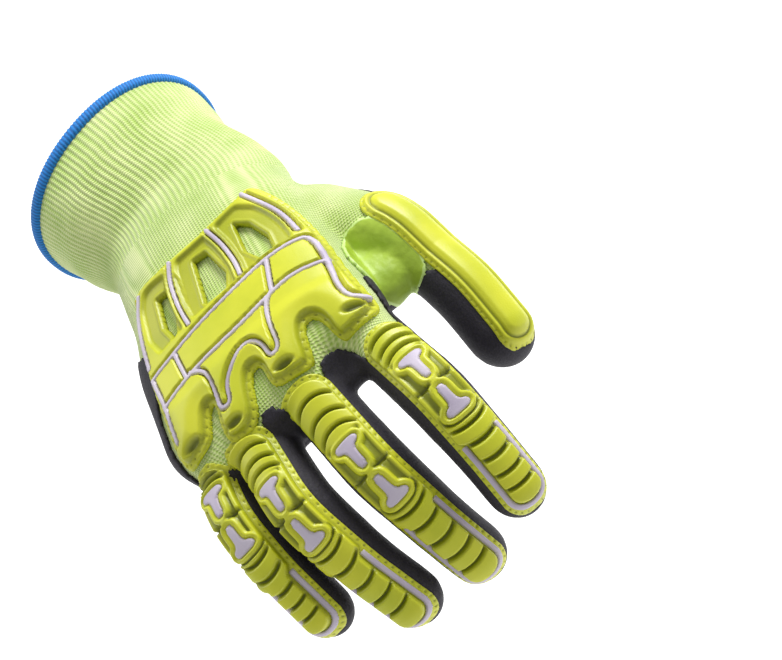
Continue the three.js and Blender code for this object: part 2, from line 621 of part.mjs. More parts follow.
for (const [name, rows] of Object.entries(columnLines))
  add("back_line_" + name, lineSkin.intersect(strip(onPalm(rows), lineWidth)), inlayRubber);
add("back_line_band", lineSkin.intersect(joined(bandLines.map((rows) => strip(onPalm(rows), lineWidth)))), inlayRubber);

// The dipped coating covers the palm and the digits' sides and tips, and stays off the guards and the patch.
const dipEdge = [
  { x: 0.05, z: -1.8 }, { x: 0.05, z: -0.5 }, { x: 0.13, z: -0.35 }, { x: 0.25, z: -0.1 }, { x: 0.38, z: 0.13 },
  { x: 0.9, z: 0.13 }, { x: 0.92, z: 0.3 }, { x: 0.92, z: 1.8 }, { x: 2.5, z: 1.8 }, { x: 2.5, z: -1.8 },
];
const dipShape = new THREE.Shape(dipEdge.map(({ x, z }) => new THREE.Vector2(x * palmLength, z * palmHeight)));
const dipDepth = 2 * palmWidth;
const dipGeometry = new THREE.ExtrudeGeometry(dipShape, { depth: dipDepth, bevelEnabled: false });
const dipped = solidOf(dipGeometry.rotateX(Math.PI / 2).translate(0, dipDepth / 2, 0));
// The room a digit's guard takes on the knit, out to a margin round its edge.
const bareMargin = 3 * clearance;
const zoneStep = 3; // every third of the guard's stations is enough
function guardZone(digit) {
  const stations = guardStations(digit);
  const last = stations.length - 1;
  const chosen = stations.filter((_, i) => i < 2 || i > last - 2 || i % zoneStep === 0).map(({ s }) => s);
  const places = [chosen[0] - bareMargin, ...chosen, chosen.at(-1) + bareMargin];
  return lofted(places.map((s) => {
    const reach = digit.guardReach(clamp(s, chosen[0], chosen.at(-1)));
    const edge = Math.min(turnFor(digit, s, reach), steepest) + turnFor(digit, s, bareMargin);
    const around = [[edge, -2], [edge, 6], [0, 9], [-edge, 6], [-edge, -2]];
    return around.map(([turn, grow]) => onDigit(digit, s, turn + digit.turn, grow));
  }));
}
// A digit's coating wraps its sides, its front and its tip, and leaves its back to the guard.
const coatGrows = [clearance + coatWall, clearance];
function coatedDigit(digit) {
  const step = 360 / digitSides;
  const edge = Math.min(turnFor(digit, digit.root, digit.guardHalf), steepest);
  const bare = Math.max(0.8 * edge, step + Math.abs(digit.turn) + 2);
  const [first, last] = [digit.turn + bare, digit.turn + 360 - bare];
  const turns = [first];
  for (let turn = 0; turn < last; turn += step) if (turn > first + 2 && turn < last - 2) turns.push(turn);
  turns.push(last);
  const grids = coatGrows.map((grow) => digitRings(digit, grow, digitSides).map(({ ring }) => turns.map((turn) => {
    const place = (90 - turn) / step - 0.5 + 2 * digitSides;
    const a = Math.floor(place);
    return ring[a % digitSides].clone().lerp(ring[(a + 1) % digitSides], place - a);
  })));
  return sheet(...grids);
}
const palmAndWeb = (grow) => palmSolid(grow, handSides, 0).add(webSolid(grow));
const zones = joined(digits.map(guardZone));
const patchCentre = new THREE.Vector3(0.566 * palmLength, 0.585 * palmWidth, -0.2 * palmHeight);
const patchRadii = new THREE.Vector3(0.165 * palmLength, 0.19 * palmWidth, 0.42 * palmHeight);
const patchBall = (grow) => {
  const radii = patchRadii.clone().addScalar(grow);
  return solidOf(new THREE.SphereGeometry(1, 12, 8).scale(...radii).translate(...patchCentre));
};
// The knit stays bare over the thumb's root, and over the crotch of the ring and little fingers.
const thumbRoot = [{ x: 0, y: 0.4 }, { x: 0.62, y: 0.4 }, { x: 0.62, y: 0.5 }, { x: 0.4, y: 1 }, { x: 0, y: 1 }];
const lastCrotch = [{ x: 0.88, y: -0.25 }, { x: 1.03, y: -0.25 }, { x: 1.03, y: -0.42 }, { x: 0.88, y: -0.42 }];
const bareBack = prism(new THREE.Shape(onPalm(thumbRoot)), -0.25 * palmHeight, above).add(upright(onPalm(lastCrotch)));
const guardClear = upright(aside(outline, clearance, true));
const coatedPalm = palmAndWeb(coatGrows[0])
  .subtract(palmAndWeb(coatGrows[1]))
  .intersect(dipped)
  .subtract(joined(digits.map(({ grown }) => grown)));
const coatedDigits = digits.map((digit) => {
  const others = digits.filter((other) => other !== digit).map(({ grown }) => grown);
  return coatedDigit(digit).subtract(joined([palmAndWeb(coatGrows[1]), ...others]));
});
const kept = joined([zones, guardClear, bareBack, patchBall(clearance)]);
add("palm_coating", joined([coatedPalm, ...coatedDigits]).subtract(kept), coating);

const patchShell = skin(clearance, clearance + patchWall).intersect(patchBall(0));
add("crotch_patch", patchShell.subtract(guardClear.add(zones)), patchFilm);

export default glove;
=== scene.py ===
# %% [markdown]
# An impact glove for the right hand, as a hand fills it. A knit liner carries everything else: a dipped
# coating on the palm side, a film patch in the crotch of the thumb, and soft moulded guards on the back
# of the hand and of each digit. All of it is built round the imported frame, in metres, so nothing needs
# fitting afterwards.

# %% Frame
import bmesh
import bpy
import math
import numpy as np
from mathutils import Matrix, Vector
from mathutils.bvhtree import BVHTree


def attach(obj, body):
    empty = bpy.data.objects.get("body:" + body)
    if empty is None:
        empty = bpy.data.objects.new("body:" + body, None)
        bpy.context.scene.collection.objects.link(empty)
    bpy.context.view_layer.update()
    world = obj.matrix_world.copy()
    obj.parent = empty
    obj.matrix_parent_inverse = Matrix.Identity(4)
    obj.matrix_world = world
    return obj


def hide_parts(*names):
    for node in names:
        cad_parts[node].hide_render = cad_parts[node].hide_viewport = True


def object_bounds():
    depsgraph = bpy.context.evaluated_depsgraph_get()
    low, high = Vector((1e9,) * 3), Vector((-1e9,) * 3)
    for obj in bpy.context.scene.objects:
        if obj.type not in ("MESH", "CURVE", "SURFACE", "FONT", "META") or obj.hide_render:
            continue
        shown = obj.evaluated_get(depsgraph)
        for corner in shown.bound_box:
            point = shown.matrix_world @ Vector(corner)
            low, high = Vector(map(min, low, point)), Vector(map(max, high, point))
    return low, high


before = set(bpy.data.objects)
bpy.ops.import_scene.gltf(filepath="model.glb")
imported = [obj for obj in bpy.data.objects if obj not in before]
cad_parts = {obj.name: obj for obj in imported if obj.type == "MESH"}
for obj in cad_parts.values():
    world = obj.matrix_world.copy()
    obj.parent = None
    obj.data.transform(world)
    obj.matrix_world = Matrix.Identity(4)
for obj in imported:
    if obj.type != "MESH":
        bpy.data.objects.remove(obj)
cad_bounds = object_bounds()
print("CAD box", cad_bounds, "nodes", len(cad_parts))

# %% [markdown]
# The glove is measured in millimetres in the record's frame: X to the fingertips, Y to the thumb's side,
# Z out of the back of the hand. The same named sizes as the frame's solids drive every piece here.

# %% Sizes of the glove
MM = 0.001
CUFF_LENGTH = 62
MOUTH = (86, 71)
CUFF_YAW = 16
CUFF_PITCH = 5
WRIST = (74, 47)
PALM_LENGTH = 106
PALM_WIDTH = 88
PALM_HEIGHT = 38
FINGER_LENGTH = 100
FINGER_WIDTH = 19.4
FINGER_HEIGHT = 17.6
KNIT_WALL = 1.6
COAT_WALL = 1
PATCH_WALL = 1.2
CLEARANCE = 0.3
BEND_REACH = 9
GUARD_WIDTH = 18
FLANGE_WIDTH = 2.6
FLANGE_WALL = 1.2
CORE_LIFT = 2.6
PLATE_WALL = 1.6
PAD_LIFT = 2.4
BONE_REACH = 11.5
SQUARE = 2.15

# Each digit's first joint as shares of the palm, how it leaves the hand, its bends, bones and girth, where
# its guard starts as a share of the finger's length, and how far its guard is turned round it.
DIGITS = {
    "index": dict(at=(0.787, 0.36, 0), yaw=15.9, roll=-14, bends=(14.8, 27, 12.9),
                  bones=(0.43, 0.245, 0.25), girth=1, guard=0.135),
    "middle": dict(at=(0.816, 0.062, 0.1), yaw=4.1, roll=5.4, bends=(25, 27.8, 12.9),
                   bones=(0.466, 0.275, 0.26), girth=1.03, guard=0.08),
    "ring": dict(at=(0.8, -0.188, 0.03), yaw=-5.5, roll=16.7, bends=(17, 31.4, 10.8),
                 bones=(0.432, 0.259, 0.295), girth=0.98, guard=0.115),
    "little": dict(at=(0.728, -0.385, -0.1), yaw=-8, roll=16, bends=(9.5, 25.5, 12.5),
                   bones=(0.371, 0.216, 0.275), girth=0.9, guard=0.18),
    "thumb": dict(at=(0.137, 0.32, -0.2), yaw=40.8, pitch=5.4, roll=-50, bends=(0, 34, 11),
                  bones=(0.46, 0.34, 0.3), girth=1.13, guard=0.36, turn=-20),
}
FINGERS = ("index", "middle", "ring", "little")
# Girth along a digit: place as a share of its length, girth as a share of its own.
FINGER_GIRTH = [
    (-0.13, 0.86), (0.06, 1), (0.3, 1.01), (0.42, 1.04), (0.52, 1.03), (0.66, 0.98), (0.78, 0.95),
]
THUMB_GIRTH = [(-0.06, 1.45), (0.12, 1.62), (0.28, 1.42), (0.44, 1.12), (0.58, 1), (0.72, 1.02)]
DOME_SHARE = 0.52
# The palm's sections: place, width, height, sideways and upward shift as shares of the palm, squareness.
PALM_SECTIONS = [
    (0.1, 0.87, 1.18, -0.03, 0, 2.3), (0.24, 0.91, 1.08, -0.02, -0.02, 2.4),
    (0.42, 0.945, 1, -0.005, -0.02, 2.5), (0.6, 0.97, 0.93, 0, 0, 2.5), (0.76, 1, 0.84, 0, 0, 2.5),
    (0.88, 0.97, 0.72, 0, -0.02, 2.5), (0.96, 0.9, 0.52, 0, -0.04, 2.5), (1, 0.8, 0.3, 0, -0.06, 2.4),
]
# The cuff's sections: place along it, how far its width and height have gone to the mouth's, its heel.
CUFF_SECTIONS = [
    (0, 0, 0, 0.04), (0.25, 0, 0.04, 0.035), (0.5, 0.26, 0.36, 0.02), (0.75, 0.66, 0.74, 0), (1, 1, 1, 0),
]
# The web between thumb and palm: place, half length and half height as shares of the palm.
WEB_SECTIONS = [
    (0.51, 0.61, -0.36, 0.15, 0.2), (0.53, 0.52, -0.33, 0.165, 0.22), (0.54, 0.42, -0.3, 0.16, 0.24),
    (0.56, 0.3, -0.2, 0.14, 0.28),
]
# How much fuller the cloth is over the wrist on the thumb's side and along the palm on the other, and how
# much deeper it dips between the first two fingers. The places say where along X each comes in and fades.
THUMB_SIDE_FULLER = 4.2
THUMB_SIDE_PLACES = (-45, -8, 22, 58)
LITTLE_SIDE_FULLER = 4.4
LITTLE_SIDE_PLACES = (18, 48, 84, 100)
CROTCH_DIP = 9
CROTCH_PLACES = (86, 106)
CROTCH_MIDDLE = 22.5
CROTCH_HALF = 8


def rotation(roll, pitch, yaw):
    turns = [Matrix.Rotation(math.radians(a), 3, axis) for a, axis in ((yaw, "Z"), (pitch, "Y"), (roll, "X"))]
    return np.array(turns[0] @ turns[1] @ turns[2])


def smoothstep(x, low, high):
    t = np.clip((np.asarray(x, float) - low) / (high - low), 0, 1)
    return t * t * (3 - 2 * t)


def between(x, low, full, fading, gone):
    """Comes in from low to full and goes out again from fading to gone."""
    return smoothstep(x, low, full) * (1 - smoothstep(x, fading, gone))


def power(wave, square):
    """A cosine or sine made squarer, so that the oval it draws is fuller at its corners."""
    return np.sign(wave) * np.abs(wave) ** (2 / square)

# %% [markdown]
# A finger is a tube along a line that bends at three joints. The line is worked out once as a table of
# places and upward directions, and every piece on a finger is then modelled flat, as distance along and
# distance across, and wrapped over the finger with one function.

# %% Lines of the digits
LINE_STEP = 0.5
LINE_START = -16
LINE_OVERRUN = 12
GUARD_TO_TIP = 0.97
THUMB_GUARD_SHARE = 0.94
TIP_LINE_START = 0.62


class Digit:
    def __init__(self, name, at, yaw, roll, bends, bones, girth, guard, pitch=0, turn=0):
        self.name, self.girth, self.turn, self.bends = name, girth, turn, bends
        lengths = [share * FINGER_LENGTH for share in bones]
        self.joints = [0, lengths[0], lengths[0] + lengths[1]]
        self.length = sum(lengths)
        turned = rotation(roll, pitch, yaw)
        base = np.array([at[0] * PALM_LENGTH, at[1] * PALM_WIDTH, at[2] * PALM_HEIGHT])
        self.table = THUMB_GIRTH if name == "thumb" else FINGER_GIRTH
        self.dome = DOME_SHARE * girth * FINGER_WIDTH
        self.dome_start = self.length - self.dome
        self.s = np.arange(LINE_START, self.length + LINE_OVERRUN, LINE_STEP)
        bend = self.bend(self.s + LINE_STEP / 2)
        steps = np.stack([np.cos(bend), 0 * bend, -np.sin(bend)], 1) * LINE_STEP
        points = np.cumsum(np.vstack([np.zeros(3), steps[:-1]]), 0)
        points -= points[np.argmin(np.abs(self.s))]
        self.points = points @ turned.T + base
        bend = self.bend(self.s)
        self.ups = np.stack([np.sin(bend), 0 * bend, np.cos(bend)], 1) @ turned.T
        self.side = turned @ np.array([0, 1, 0])
        self.guard_start = guard * FINGER_LENGTH
        self.guard_end = self.dome_start + GUARD_TO_TIP * self.dome
        self.guard_half = GUARD_WIDTH * (THUMB_GUARD_SHARE if name == "thumb" else girth) / 2
        self.tip_line_start = self.guard_start + TIP_LINE_START * (self.guard_end - self.guard_start)

    def bend(self, s):
        shares = [smoothstep(s, joint - BEND_REACH, joint + BEND_REACH) for joint in self.joints]
        return np.radians(sum(bend * share for bend, share in zip(self.bends, shares)))

    def half(self, s):
        share = np.minimum(s, self.dome_start) / self.length
        girth = np.interp(share, *zip(*self.table)) * self.girth / 2
        past = np.clip((np.asarray(s, float) - self.dome_start) / self.dome, 0, 1)
        return girth * np.sqrt(1 - past ** 2)

    def line(self, s):
        point = np.stack([np.interp(s, self.s, self.points[:, i]) for i in range(3)], -1)
        up = np.stack([np.interp(s, self.s, self.ups[:, i]) for i in range(3)], -1)
        return point, up

    def wrap(self, s, turn, grow):
        """Points over the knit at s along the digit, turn radians from the middle of its back."""
        point, up = self.line(s)
        girth = self.half(s)
        across = power(np.sin(turn), SQUARE) * (girth * FINGER_WIDTH + grow)
        upward = power(np.cos(turn), SQUARE) * (girth * FINGER_HEIGHT + grow)
        return point + self.side * across[..., None] + up * upward[..., None]

    def radius(self, s):
        return self.half(s) * (FINGER_WIDTH + FINGER_HEIGHT) / 2 + CLEARANCE


digits = {name: Digit(name, **row) for name, row in DIGITS.items()}
print("digit lengths", {name: round(digit.length) for name, digit in digits.items()})

# %% [markdown]
# Two helpers serve every moulded piece. One gives the signed distance from a flat outline, which turns
# an outline into rims, bevels and grooves. The other rounds the corners of an outline.

# %% Flat outlines


def rounded(points, times=2, loop=True):
    """Cuts each corner at its quarters, which rounds the outline a little more each time."""
    points = np.asarray(points, float)
    for _ in range(times):
        after = np.roll(points, -1, 0) if loop else points[1:]
        before = points if loop else points[:-1]
        quarters = [0.75 * before + 0.25 * after, 0.25 * before + 0.75 * after]
        cut = np.stack(quarters, 1).reshape(-1, points.shape[1])
        points = cut if loop else np.vstack([points[:1], cut, points[-1:]])
    return points


def cornered(points, cut=0.14):
    """The outline with only its corners' last bit rounded."""
    points = np.asarray(points, float)
    before, after = np.roll(points, 1, 0), np.roll(points, -1, 0)
    near = [points + cut * (before - points), points, points + cut * (after - points)]
    return rounded(np.stack(near, 1).reshape(-1, points.shape[1]), 1)


def to_path(places, path, loop=False):
    """The distance of places to a path, and how far along the path the nearest point is."""
    best = np.full(len(places), 1e9)
    along = np.zeros(len(places))
    gone = 0
    path = np.asarray(path, float)
    ends = list(zip(path, np.roll(path, -1, 0))) if loop else list(zip(path[:-1], path[1:]))
    for a, b in ends:
        way = b - a
        size = np.hypot(*way)
        share = np.clip(((places - a) @ way) / max(size ** 2, 1e-9), 0, 1)
        away = np.hypot(*(places - a - share[:, None] * way).T)
        near = away < best
        best = np.where(near, away, best)
        along = np.where(near, gone + share * size, along)
        gone += size
    return best, along


def inside(places, outline):
    crossings = np.zeros(len(places), bool)
    x, y = places.T
    for (ax, ay), (bx, by) in zip(outline, np.roll(outline, -1, 0)):
        spans = (ay > y) != (by > y)
        crossings ^= spans & (x < (bx - ax) * (y - ay) / (by - ay + 1e-12) + ax)
    return crossings


def depth(places, outline):
    """How deep places lie inside a closed outline, negative outside."""
    away, along = to_path(places, outline, loop=True)
    return np.where(inside(places, outline), away, -away), along

# %% Making meshes


def coordinates(mesh):
    flat = np.empty(len(mesh.vertices) * 3)
    mesh.vertices.foreach_get("co", flat)
    return flat.reshape(-1, 3)


def place(mesh, points):
    mesh.vertices.foreach_set("co", np.asarray(points, float).ravel())
    mesh.update()


def piece(name, bm):
    mesh = bpy.data.meshes.new(name)
    bm.to_mesh(mesh)
    bm.free()
    obj = bpy.data.objects.new(name, mesh)
    bpy.context.scene.collection.objects.link(obj)
    mesh.shade_smooth()
    return obj


def give_wall(obj, thickness, offset):
    """Thickens a sheet, outwards with offset 1 and inwards with offset -1."""
    wall = obj.modifiers.new("wall", "SOLIDIFY")
    wall.thickness = thickness * MM
    wall.offset = offset


def finish_piece(obj, slot, material, *nodes):
    obj.data.materials.clear()
    obj.data.materials.append(material)
    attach(obj, "root")
    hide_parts(*nodes)
    print(obj.name, len(obj.data.polygons), "faces")


def trim(bm, value):
    """Cuts a sheet along the line where value is nought, and drops what lies below it.
    value holds one number per vertex. Vertices near the line move onto it, so the edge comes out smooth."""
    bm.verts.ensure_lookup_table()
    value = np.array(value, float)
    moves = {}
    for edge in bm.edges:
        a, b = edge.verts
        va, vb = value[a.index], value[b.index]
        if va * vb >= 0:
            continue
        share = va / (va - vb)
        vert, other, part = (a, b, share) if share < 0.5 else (b, a, 1 - share)
        if vert.index not in moves or part < moves[vert.index][0]:
            moves[vert.index] = (part, vert.co.lerp(other.co, part))
    for index, (part, co) in moves.items():
        bm.verts[index].co = co
        value[index] = 0
    out = [face for face in bm.faces if sum(value[v.index] for v in face.verts) <= 0]
    bmesh.ops.delete(bm, geom=out, context="FACES")
    loose = [v for v in bm.verts if not v.link_faces]
    bmesh.ops.delete(bm, geom=loose, context="VERTS")

# %% [markdown]
# The camera looks down on the back of the hand from the thumb's side, rolled so that the fingers point
# up the picture. The floor is wide and far below, so it fills the picture and takes no clear shadow.

# %% Camera, floor and light
CAMERA_AZIMUTH = 102.11
CAMERA_ELEVATION = 42.44
CAMERA_ROLL = -48.36
CAMERA_DISTANCE = 739.36
CAMERA_TARGET = Vector((97.85, 41.08, 0))
CAMERA_LENS = 102.3
SENSOR_WIDTH = 36
FLOOR_DROP = 420 * MM
FLOOR_SIZE = 40
FLOOR_GLOW = 0.62
WORLD_STRENGTH = 0.42

azimuth, elevation, roll = (math.radians(a) for a in (CAMERA_AZIMUTH, CAMERA_ELEVATION, CAMERA_ROLL))
back = Vector((math.sin(azimuth) * math.cos(elevation), -math.cos(azimuth) * math.cos(elevation),
               math.sin(elevation)))
right = Vector((math.cos(azimuth), math.sin(azimuth), 0))
up = back.cross(right)
camera = bpy.data.objects.new("camera", bpy.data.cameras.new("camera"))
bpy.context.scene.collection.objects.link(camera)
camera.data.lens = CAMERA_LENS
camera.data.sensor_width = SENSOR_WIDTH
rolled_right = math.cos(roll) * right + math.sin(roll) * up
rolled_up = math.cos(roll) * up - math.sin(roll) * right
axes = Matrix((rolled_right, rolled_up, back)).transposed().to_4x4()
camera.matrix_world = Matrix.Translation((CAMERA_TARGET + back * CAMERA_DISTANCE) * MM) @ axes
bpy.context.scene.camera = camera

floor_bm = bmesh.new()
bmesh.ops.create_grid(floor_bm, x_segments=8, y_segments=8, size=FLOOR_SIZE / 2)
bmesh.ops.translate(floor_bm, verts=floor_bm.verts, vec=(0, 0, cad_bounds[0][2] - FLOOR_DROP))
floor = piece("floor", floor_bm)


def area_light(name, towards, distance, size, power_w):
    light = bpy.data.objects.new(name, bpy.data.lights.new(name, "AREA"))
    bpy.context.scene.collection.objects.link(light)
    light.data.shape = "DISK"
    light.data.size = size
    light.data.energy = power_w
    towards = Vector(towards).normalized()
    light.matrix_world = Matrix.Translation(CAMERA_TARGET * MM + towards * distance) @ \
        towards.to_track_quat("Z", "Y").to_matrix().to_4x4()


area_light("key", towards=(-0.8, 0.9, 0.95), distance=1.0, size=0.45, power_w=11.5)
area_light("fill", towards=(-0.7, -0.9, 0.8), distance=1.3, size=1.0, power_w=5)
world = bpy.data.worlds.new("studio")
world.use_nodes = True
world.node_tree.nodes["Background"].inputs["Color"].default_value = (1, 1, 1, 1)
world.node_tree.nodes["Background"].inputs["Strength"].default_value = WORLD_STRENGTH
bpy.context.scene.world = world
bpy.context.scene.view_settings.view_transform = "Standard"
print("camera at", tuple(round(c, 3) for c in camera.matrix_world.translation))

# %% [markdown]
# Materials come from one small builder. Each finish names its colour, how rough it is, and which
# pattern raises its surface. A pattern reads Object coordinates, so it stays put on the glove from
# every side, or an attribute of the mesh where it has to follow the cloth.

# %% Material builder


class Finish:
    def __init__(self, name, colour, roughness):
        self.material = bpy.data.materials.new(name)
        self.material.use_nodes = True
        self.tree = self.material.node_tree
        self.shader = self.tree.nodes["Principled BSDF"]
        self.shader.inputs["Roughness"].default_value = roughness
        self.shader.inputs["Base Color"].default_value = (*colour, 1)
        self.height = None
        self.coords = self.node("ShaderNodeTexCoord")

    def node(self, kind, **settings):
        made = self.tree.nodes.new(kind)
        for key, value in settings.items():
            setattr(made, key, value)
        return made

    def link(self, out, into):
        self.tree.links.new(out, into)

    def math(self, kind, a, b=None):
        made = self.node("ShaderNodeMath", operation=kind)
        for socket, value in zip(made.inputs, (a, b)):
            if value is None:
                continue
            if isinstance(value, (int, float)):
                socket.default_value = value
            else:
                self.link(value, socket)
        return made.outputs[0]

    def times(self, a, b):
        return self.math("MULTIPLY", a, b)

    def plus(self, a, b):
        return self.math("ADD", a, b)

    def noise(self, scale, detail=3, roughness=0.5):
        made = self.node("ShaderNodeTexNoise")
        made.inputs["Scale"].default_value = scale
        made.inputs["Detail"].default_value = detail
        made.inputs["Roughness"].default_value = roughness
        self.link(self.coords.outputs["Object"], made.inputs["Vector"])
        return made.outputs["Fac"]

    def attribute(self, name):
        return self.node("ShaderNodeAttribute", attribute_name=name).outputs["Fac"]

    def ramp(self, factor, low, high, stops=(0, 1)):
        made = self.node("ShaderNodeValToRGB")
        made.color_ramp.elements[0].position, made.color_ramp.elements[1].position = stops
        made.color_ramp.elements[0].color = (*low, 1)
        made.color_ramp.elements[1].color = (*high, 1)
        self.link(factor, made.inputs["Fac"])
        return made.outputs["Color"]

    def mix(self, factor, a, b):
        made = self.node("ShaderNodeMix", data_type="RGBA")
        self.link(factor, made.inputs["Factor"])
        for socket, value in ((made.inputs["A"], a), (made.inputs["B"], b)):
            if isinstance(value, tuple):
                socket.default_value = (*value, 1)
            else:
                self.link(value, socket)
        return made.outputs["Result"]

    def paint(self, colour):
        self.link(colour, self.shader.inputs["Base Color"])

    def bump(self, height, distance_mm):
        made = self.node("ShaderNodeBump")
        made.inputs["Distance"].default_value = distance_mm * MM
        made.inputs["Strength"].default_value = 1
        self.link(height, made.inputs["Height"])
        if self.height:
            self.link(self.height, made.inputs["Normal"])
        self.height = made.outputs["Normal"]
        self.link(self.height, self.shader.inputs["Normal"])


def srgb(text):
    """A colour written as six hex digits, in the linear numbers that a shader takes."""
    parts = [int(text[i:i + 2], 16) / 255 for i in (0, 2, 4)]
    return tuple(c / 12.92 if c <= 0.04045 else ((c + 0.055) / 1.055) ** 2.4 for c in parts)


KNIT_PITCH = 1.2
LOOP_SHARE = 0.85
LOOP_LEAN = 1.8
KNIT_LIGHT, KNIT_SHADE = srgb("E6F0AA"), srgb("A4C652")
# The rubber's third colour is painted shade, a darker olive put into the guards' grooves, holes and dents.
RUBBER_LIGHT, RUBBER_SHADE, RUBBER_RECESS_SHADE = srgb("D2D52A"), srgb("BEC61C"), srgb("646E04")
COATING_LIGHT, COATING_SHADE = srgb("2E2A38"), srgb("19161F")
PATCH_LIGHT, PATCH_SHADE, PATCH_RIM = srgb("B4D048"), srgb("90AE2A"), srgb("C9E68A")
HEM_LIGHT, HEM_SHADE = srgb("1286DC"), srgb("0A5FA8")
INLAY_LIGHT, INLAY_SHADE = srgb("CFC6D6"), srgb("B4A8C0")


def knit_finish():
    """Columns of small loops: the mesh carries across and along in millimetres as attributes."""
    finish = Finish("seamless_knit", KNIT_LIGHT, 0.85)
    across = finish.times(finish.attribute("across_mm"), 2 * math.pi / KNIT_PITCH)
    along = finish.times(finish.attribute("along_mm"), 2 * math.pi / (LOOP_SHARE * KNIT_PITCH))
    column = finish.math("COSINE", across)
    lean = finish.times(finish.math("ABSOLUTE", finish.math("SINE", finish.times(across, 0.5))), LOOP_LEAN)
    loop = finish.math("SINE", finish.plus(along, lean))
    relief = finish.plus(finish.times(column, 0.45), finish.times(loop, 0.4))
    fuzz = finish.noise(2600, 4, 0.7)
    height = finish.plus(relief, finish.times(fuzz, 0.5))
    # The colour follows the loops' height: darker in their dips, partly for the open mesh and partly as
    # painted shade, over a random tone.
    shade = finish.plus(finish.times(height, 0.42), finish.noise(60, 3))
    finish.paint(finish.ramp(shade, KNIT_SHADE, KNIT_LIGHT, (0.25, 1.0)))
    finish.bump(height, 0.22)
    finish.shader.inputs["Sheen Weight"].default_value = 0.45
    return finish.material


def moulded_finish(name, light, shade, hollow=None, roughness=0.42):
    """Matt rubber with a fine skin. In the recesses the mesh marks, the colour is painted darker: painted
    shade.
    """
    finish = Finish(name, light, roughness)
    colour = finish.ramp(finish.noise(45, 4), shade, light, (0.3, 0.6))
    if hollow:
        # Painted shade: the recesses are mixed towards the darker olive.
        colour = finish.mix(finish.attribute("hollow"), colour, hollow)
    finish.paint(colour)
    finish.bump(finish.noise(1500, 4, 0.6), 0.06)
    finish.shader.inputs["Specular IOR Level"].default_value = 0.6
    return finish.material


def coating_finish():
    """Dark matt dip with a fine grain over soft waves."""
    finish = Finish("dipped_coating", COATING_LIGHT, 0.68)
    grain = finish.noise(1400, 5, 0.65)
    finish.paint(finish.ramp(grain, COATING_SHADE, COATING_LIGHT, (0.35, 0.7)))
    finish.bump(finish.noise(260, 3), 0.25)
    finish.bump(grain, 0.22)
    return finish.material


def patch_finish():
    """Satin film with a pressed light rim; the mesh carries its distance from the edge."""
    finish = Finish("patch_film", PATCH_LIGHT, 0.45)
    edge = finish.attribute("edge_mm")
    film = finish.ramp(finish.noise(70, 3), PATCH_SHADE, PATCH_LIGHT, (0.3, 0.7))
    rim = finish.ramp(finish.math("DIVIDE", edge, 2.0), (1, 1, 1), (0, 0, 0), (0.22, 0.34))
    finish.paint(finish.mix(rim, film, PATCH_RIM))
    finish.bump(finish.noise(110, 2), 1.2)
    finish.bump(finish.noise(900, 3), 0.08)
    return finish.material


def hem_finish():
    """Blue thread; the mesh carries where in its stitch each place is."""
    finish = Finish("overlock_thread", HEM_LIGHT, 0.7)
    # The colour follows the stitch ridges: darker between them, partly the lines between the threads and
    # partly painted shade.
    strand = finish.math("SINE", finish.attribute("stitch"))
    finish.paint(finish.ramp(finish.plus(finish.times(strand, 0.5), 0.5), HEM_SHADE, HEM_LIGHT))
    finish.bump(finish.noise(3000, 3), 0.12)
    finish.shader.inputs["Sheen Weight"].default_value = 0.1
    return finish.material


knit = knit_finish()
rubber = moulded_finish("guard_rubber", RUBBER_LIGHT, RUBBER_SHADE, RUBBER_RECESS_SHADE)
inlay = moulded_finish("inlay_rubber", INLAY_LIGHT, INLAY_SHADE, roughness=0.5)
coating = coating_finish()
patch_film = patch_finish()
hem_thread = hem_finish()
backdrop = Finish("pale_floor", (0.9, 0.9, 0.9), 0.9)
backdrop.paint(backdrop.ramp(backdrop.noise(3), (0.88, 0.88, 0.88), (0.92, 0.92, 0.92)))
backdrop.shader.inputs["Emission Color"].default_value = (1, 1, 0.985, 1)
backdrop.shader.inputs["Emission Strength"].default_value = FLOOR_GLOW
floor.data.materials.append(backdrop.material)
print("finishes", [m.name for m in bpy.data.materials])

# %% [markdown]
# The liner is one seamless tube of knit that a hand fills. Rings of cloth along the palm and along each
# digit give its form. The closed forms are joined by a voxel remesh, which rounds the crotches between
# them as knit does, and the smoothing after it takes the last flat spots away.

# %% Rings and tubes
SIDES = 48


def ring_tube(name, rings):
    """A closed tube through rings of points: a circle, extruded from ring to ring."""
    bm = bmesh.new()
    bmesh.ops.create_circle(bm, cap_ends=True, segments=len(rings[0]), radius=1)
    for vert, point in zip(bm.verts, rings[0]):
        vert.co = Vector(point) * MM
    edge = list(bm.edges)
    verts = list(bm.verts)
    for ring in rings[1:]:
        made = set(bmesh.ops.extrude_edge_only(bm, edges=edge)["geom"])
        edge = [g for g in made if isinstance(g, bmesh.types.BMEdge) and g.is_boundary]
        new = {}
        for vert in verts:
            new[vert] = next(e.other_vert(vert) for e in vert.link_edges if e.other_vert(vert) in made)
        verts = [new[vert] for vert in verts]
        for vert, point in zip(verts, ring):
            vert.co = Vector(point) * MM
    bmesh.ops.contextual_create(bm, geom=edge)
    bmesh.ops.recalc_face_normals(bm, faces=bm.faces)
    return piece(name, bm)


def oval(centre, side, up, half_width, half_height, square, sides=SIDES, relief=0):
    turn = 2 * np.pi * (np.arange(sides) + 0.5) / sides
    across = power(np.cos(turn), square) * (half_width + relief)
    upward = power(np.sin(turn), square) * (half_height + relief)
    return np.asarray(centre) + np.outer(across, side) + np.outer(upward, up)


def fuller(points):
    """Points of the hand's cloth moved out at the wrist and the heel, and back in the first crotch."""
    x, y, z = np.asarray(points, float).T
    wrist = THUMB_SIDE_FULLER * between(x, *THUMB_SIDE_PLACES)
    heel = LITTLE_SIDE_FULLER * between(x, *LITTLE_SIDE_PLACES)
    y = y + wrist * smoothstep(y, 0, 32) - heel * smoothstep(-y, 20, 40)
    crotch = smoothstep(x, *CROTCH_PLACES) * np.exp(-((y - CROTCH_MIDDLE) / CROTCH_HALF) ** 2)
    return np.stack([x - CROTCH_DIP * crotch, y, z], 1)


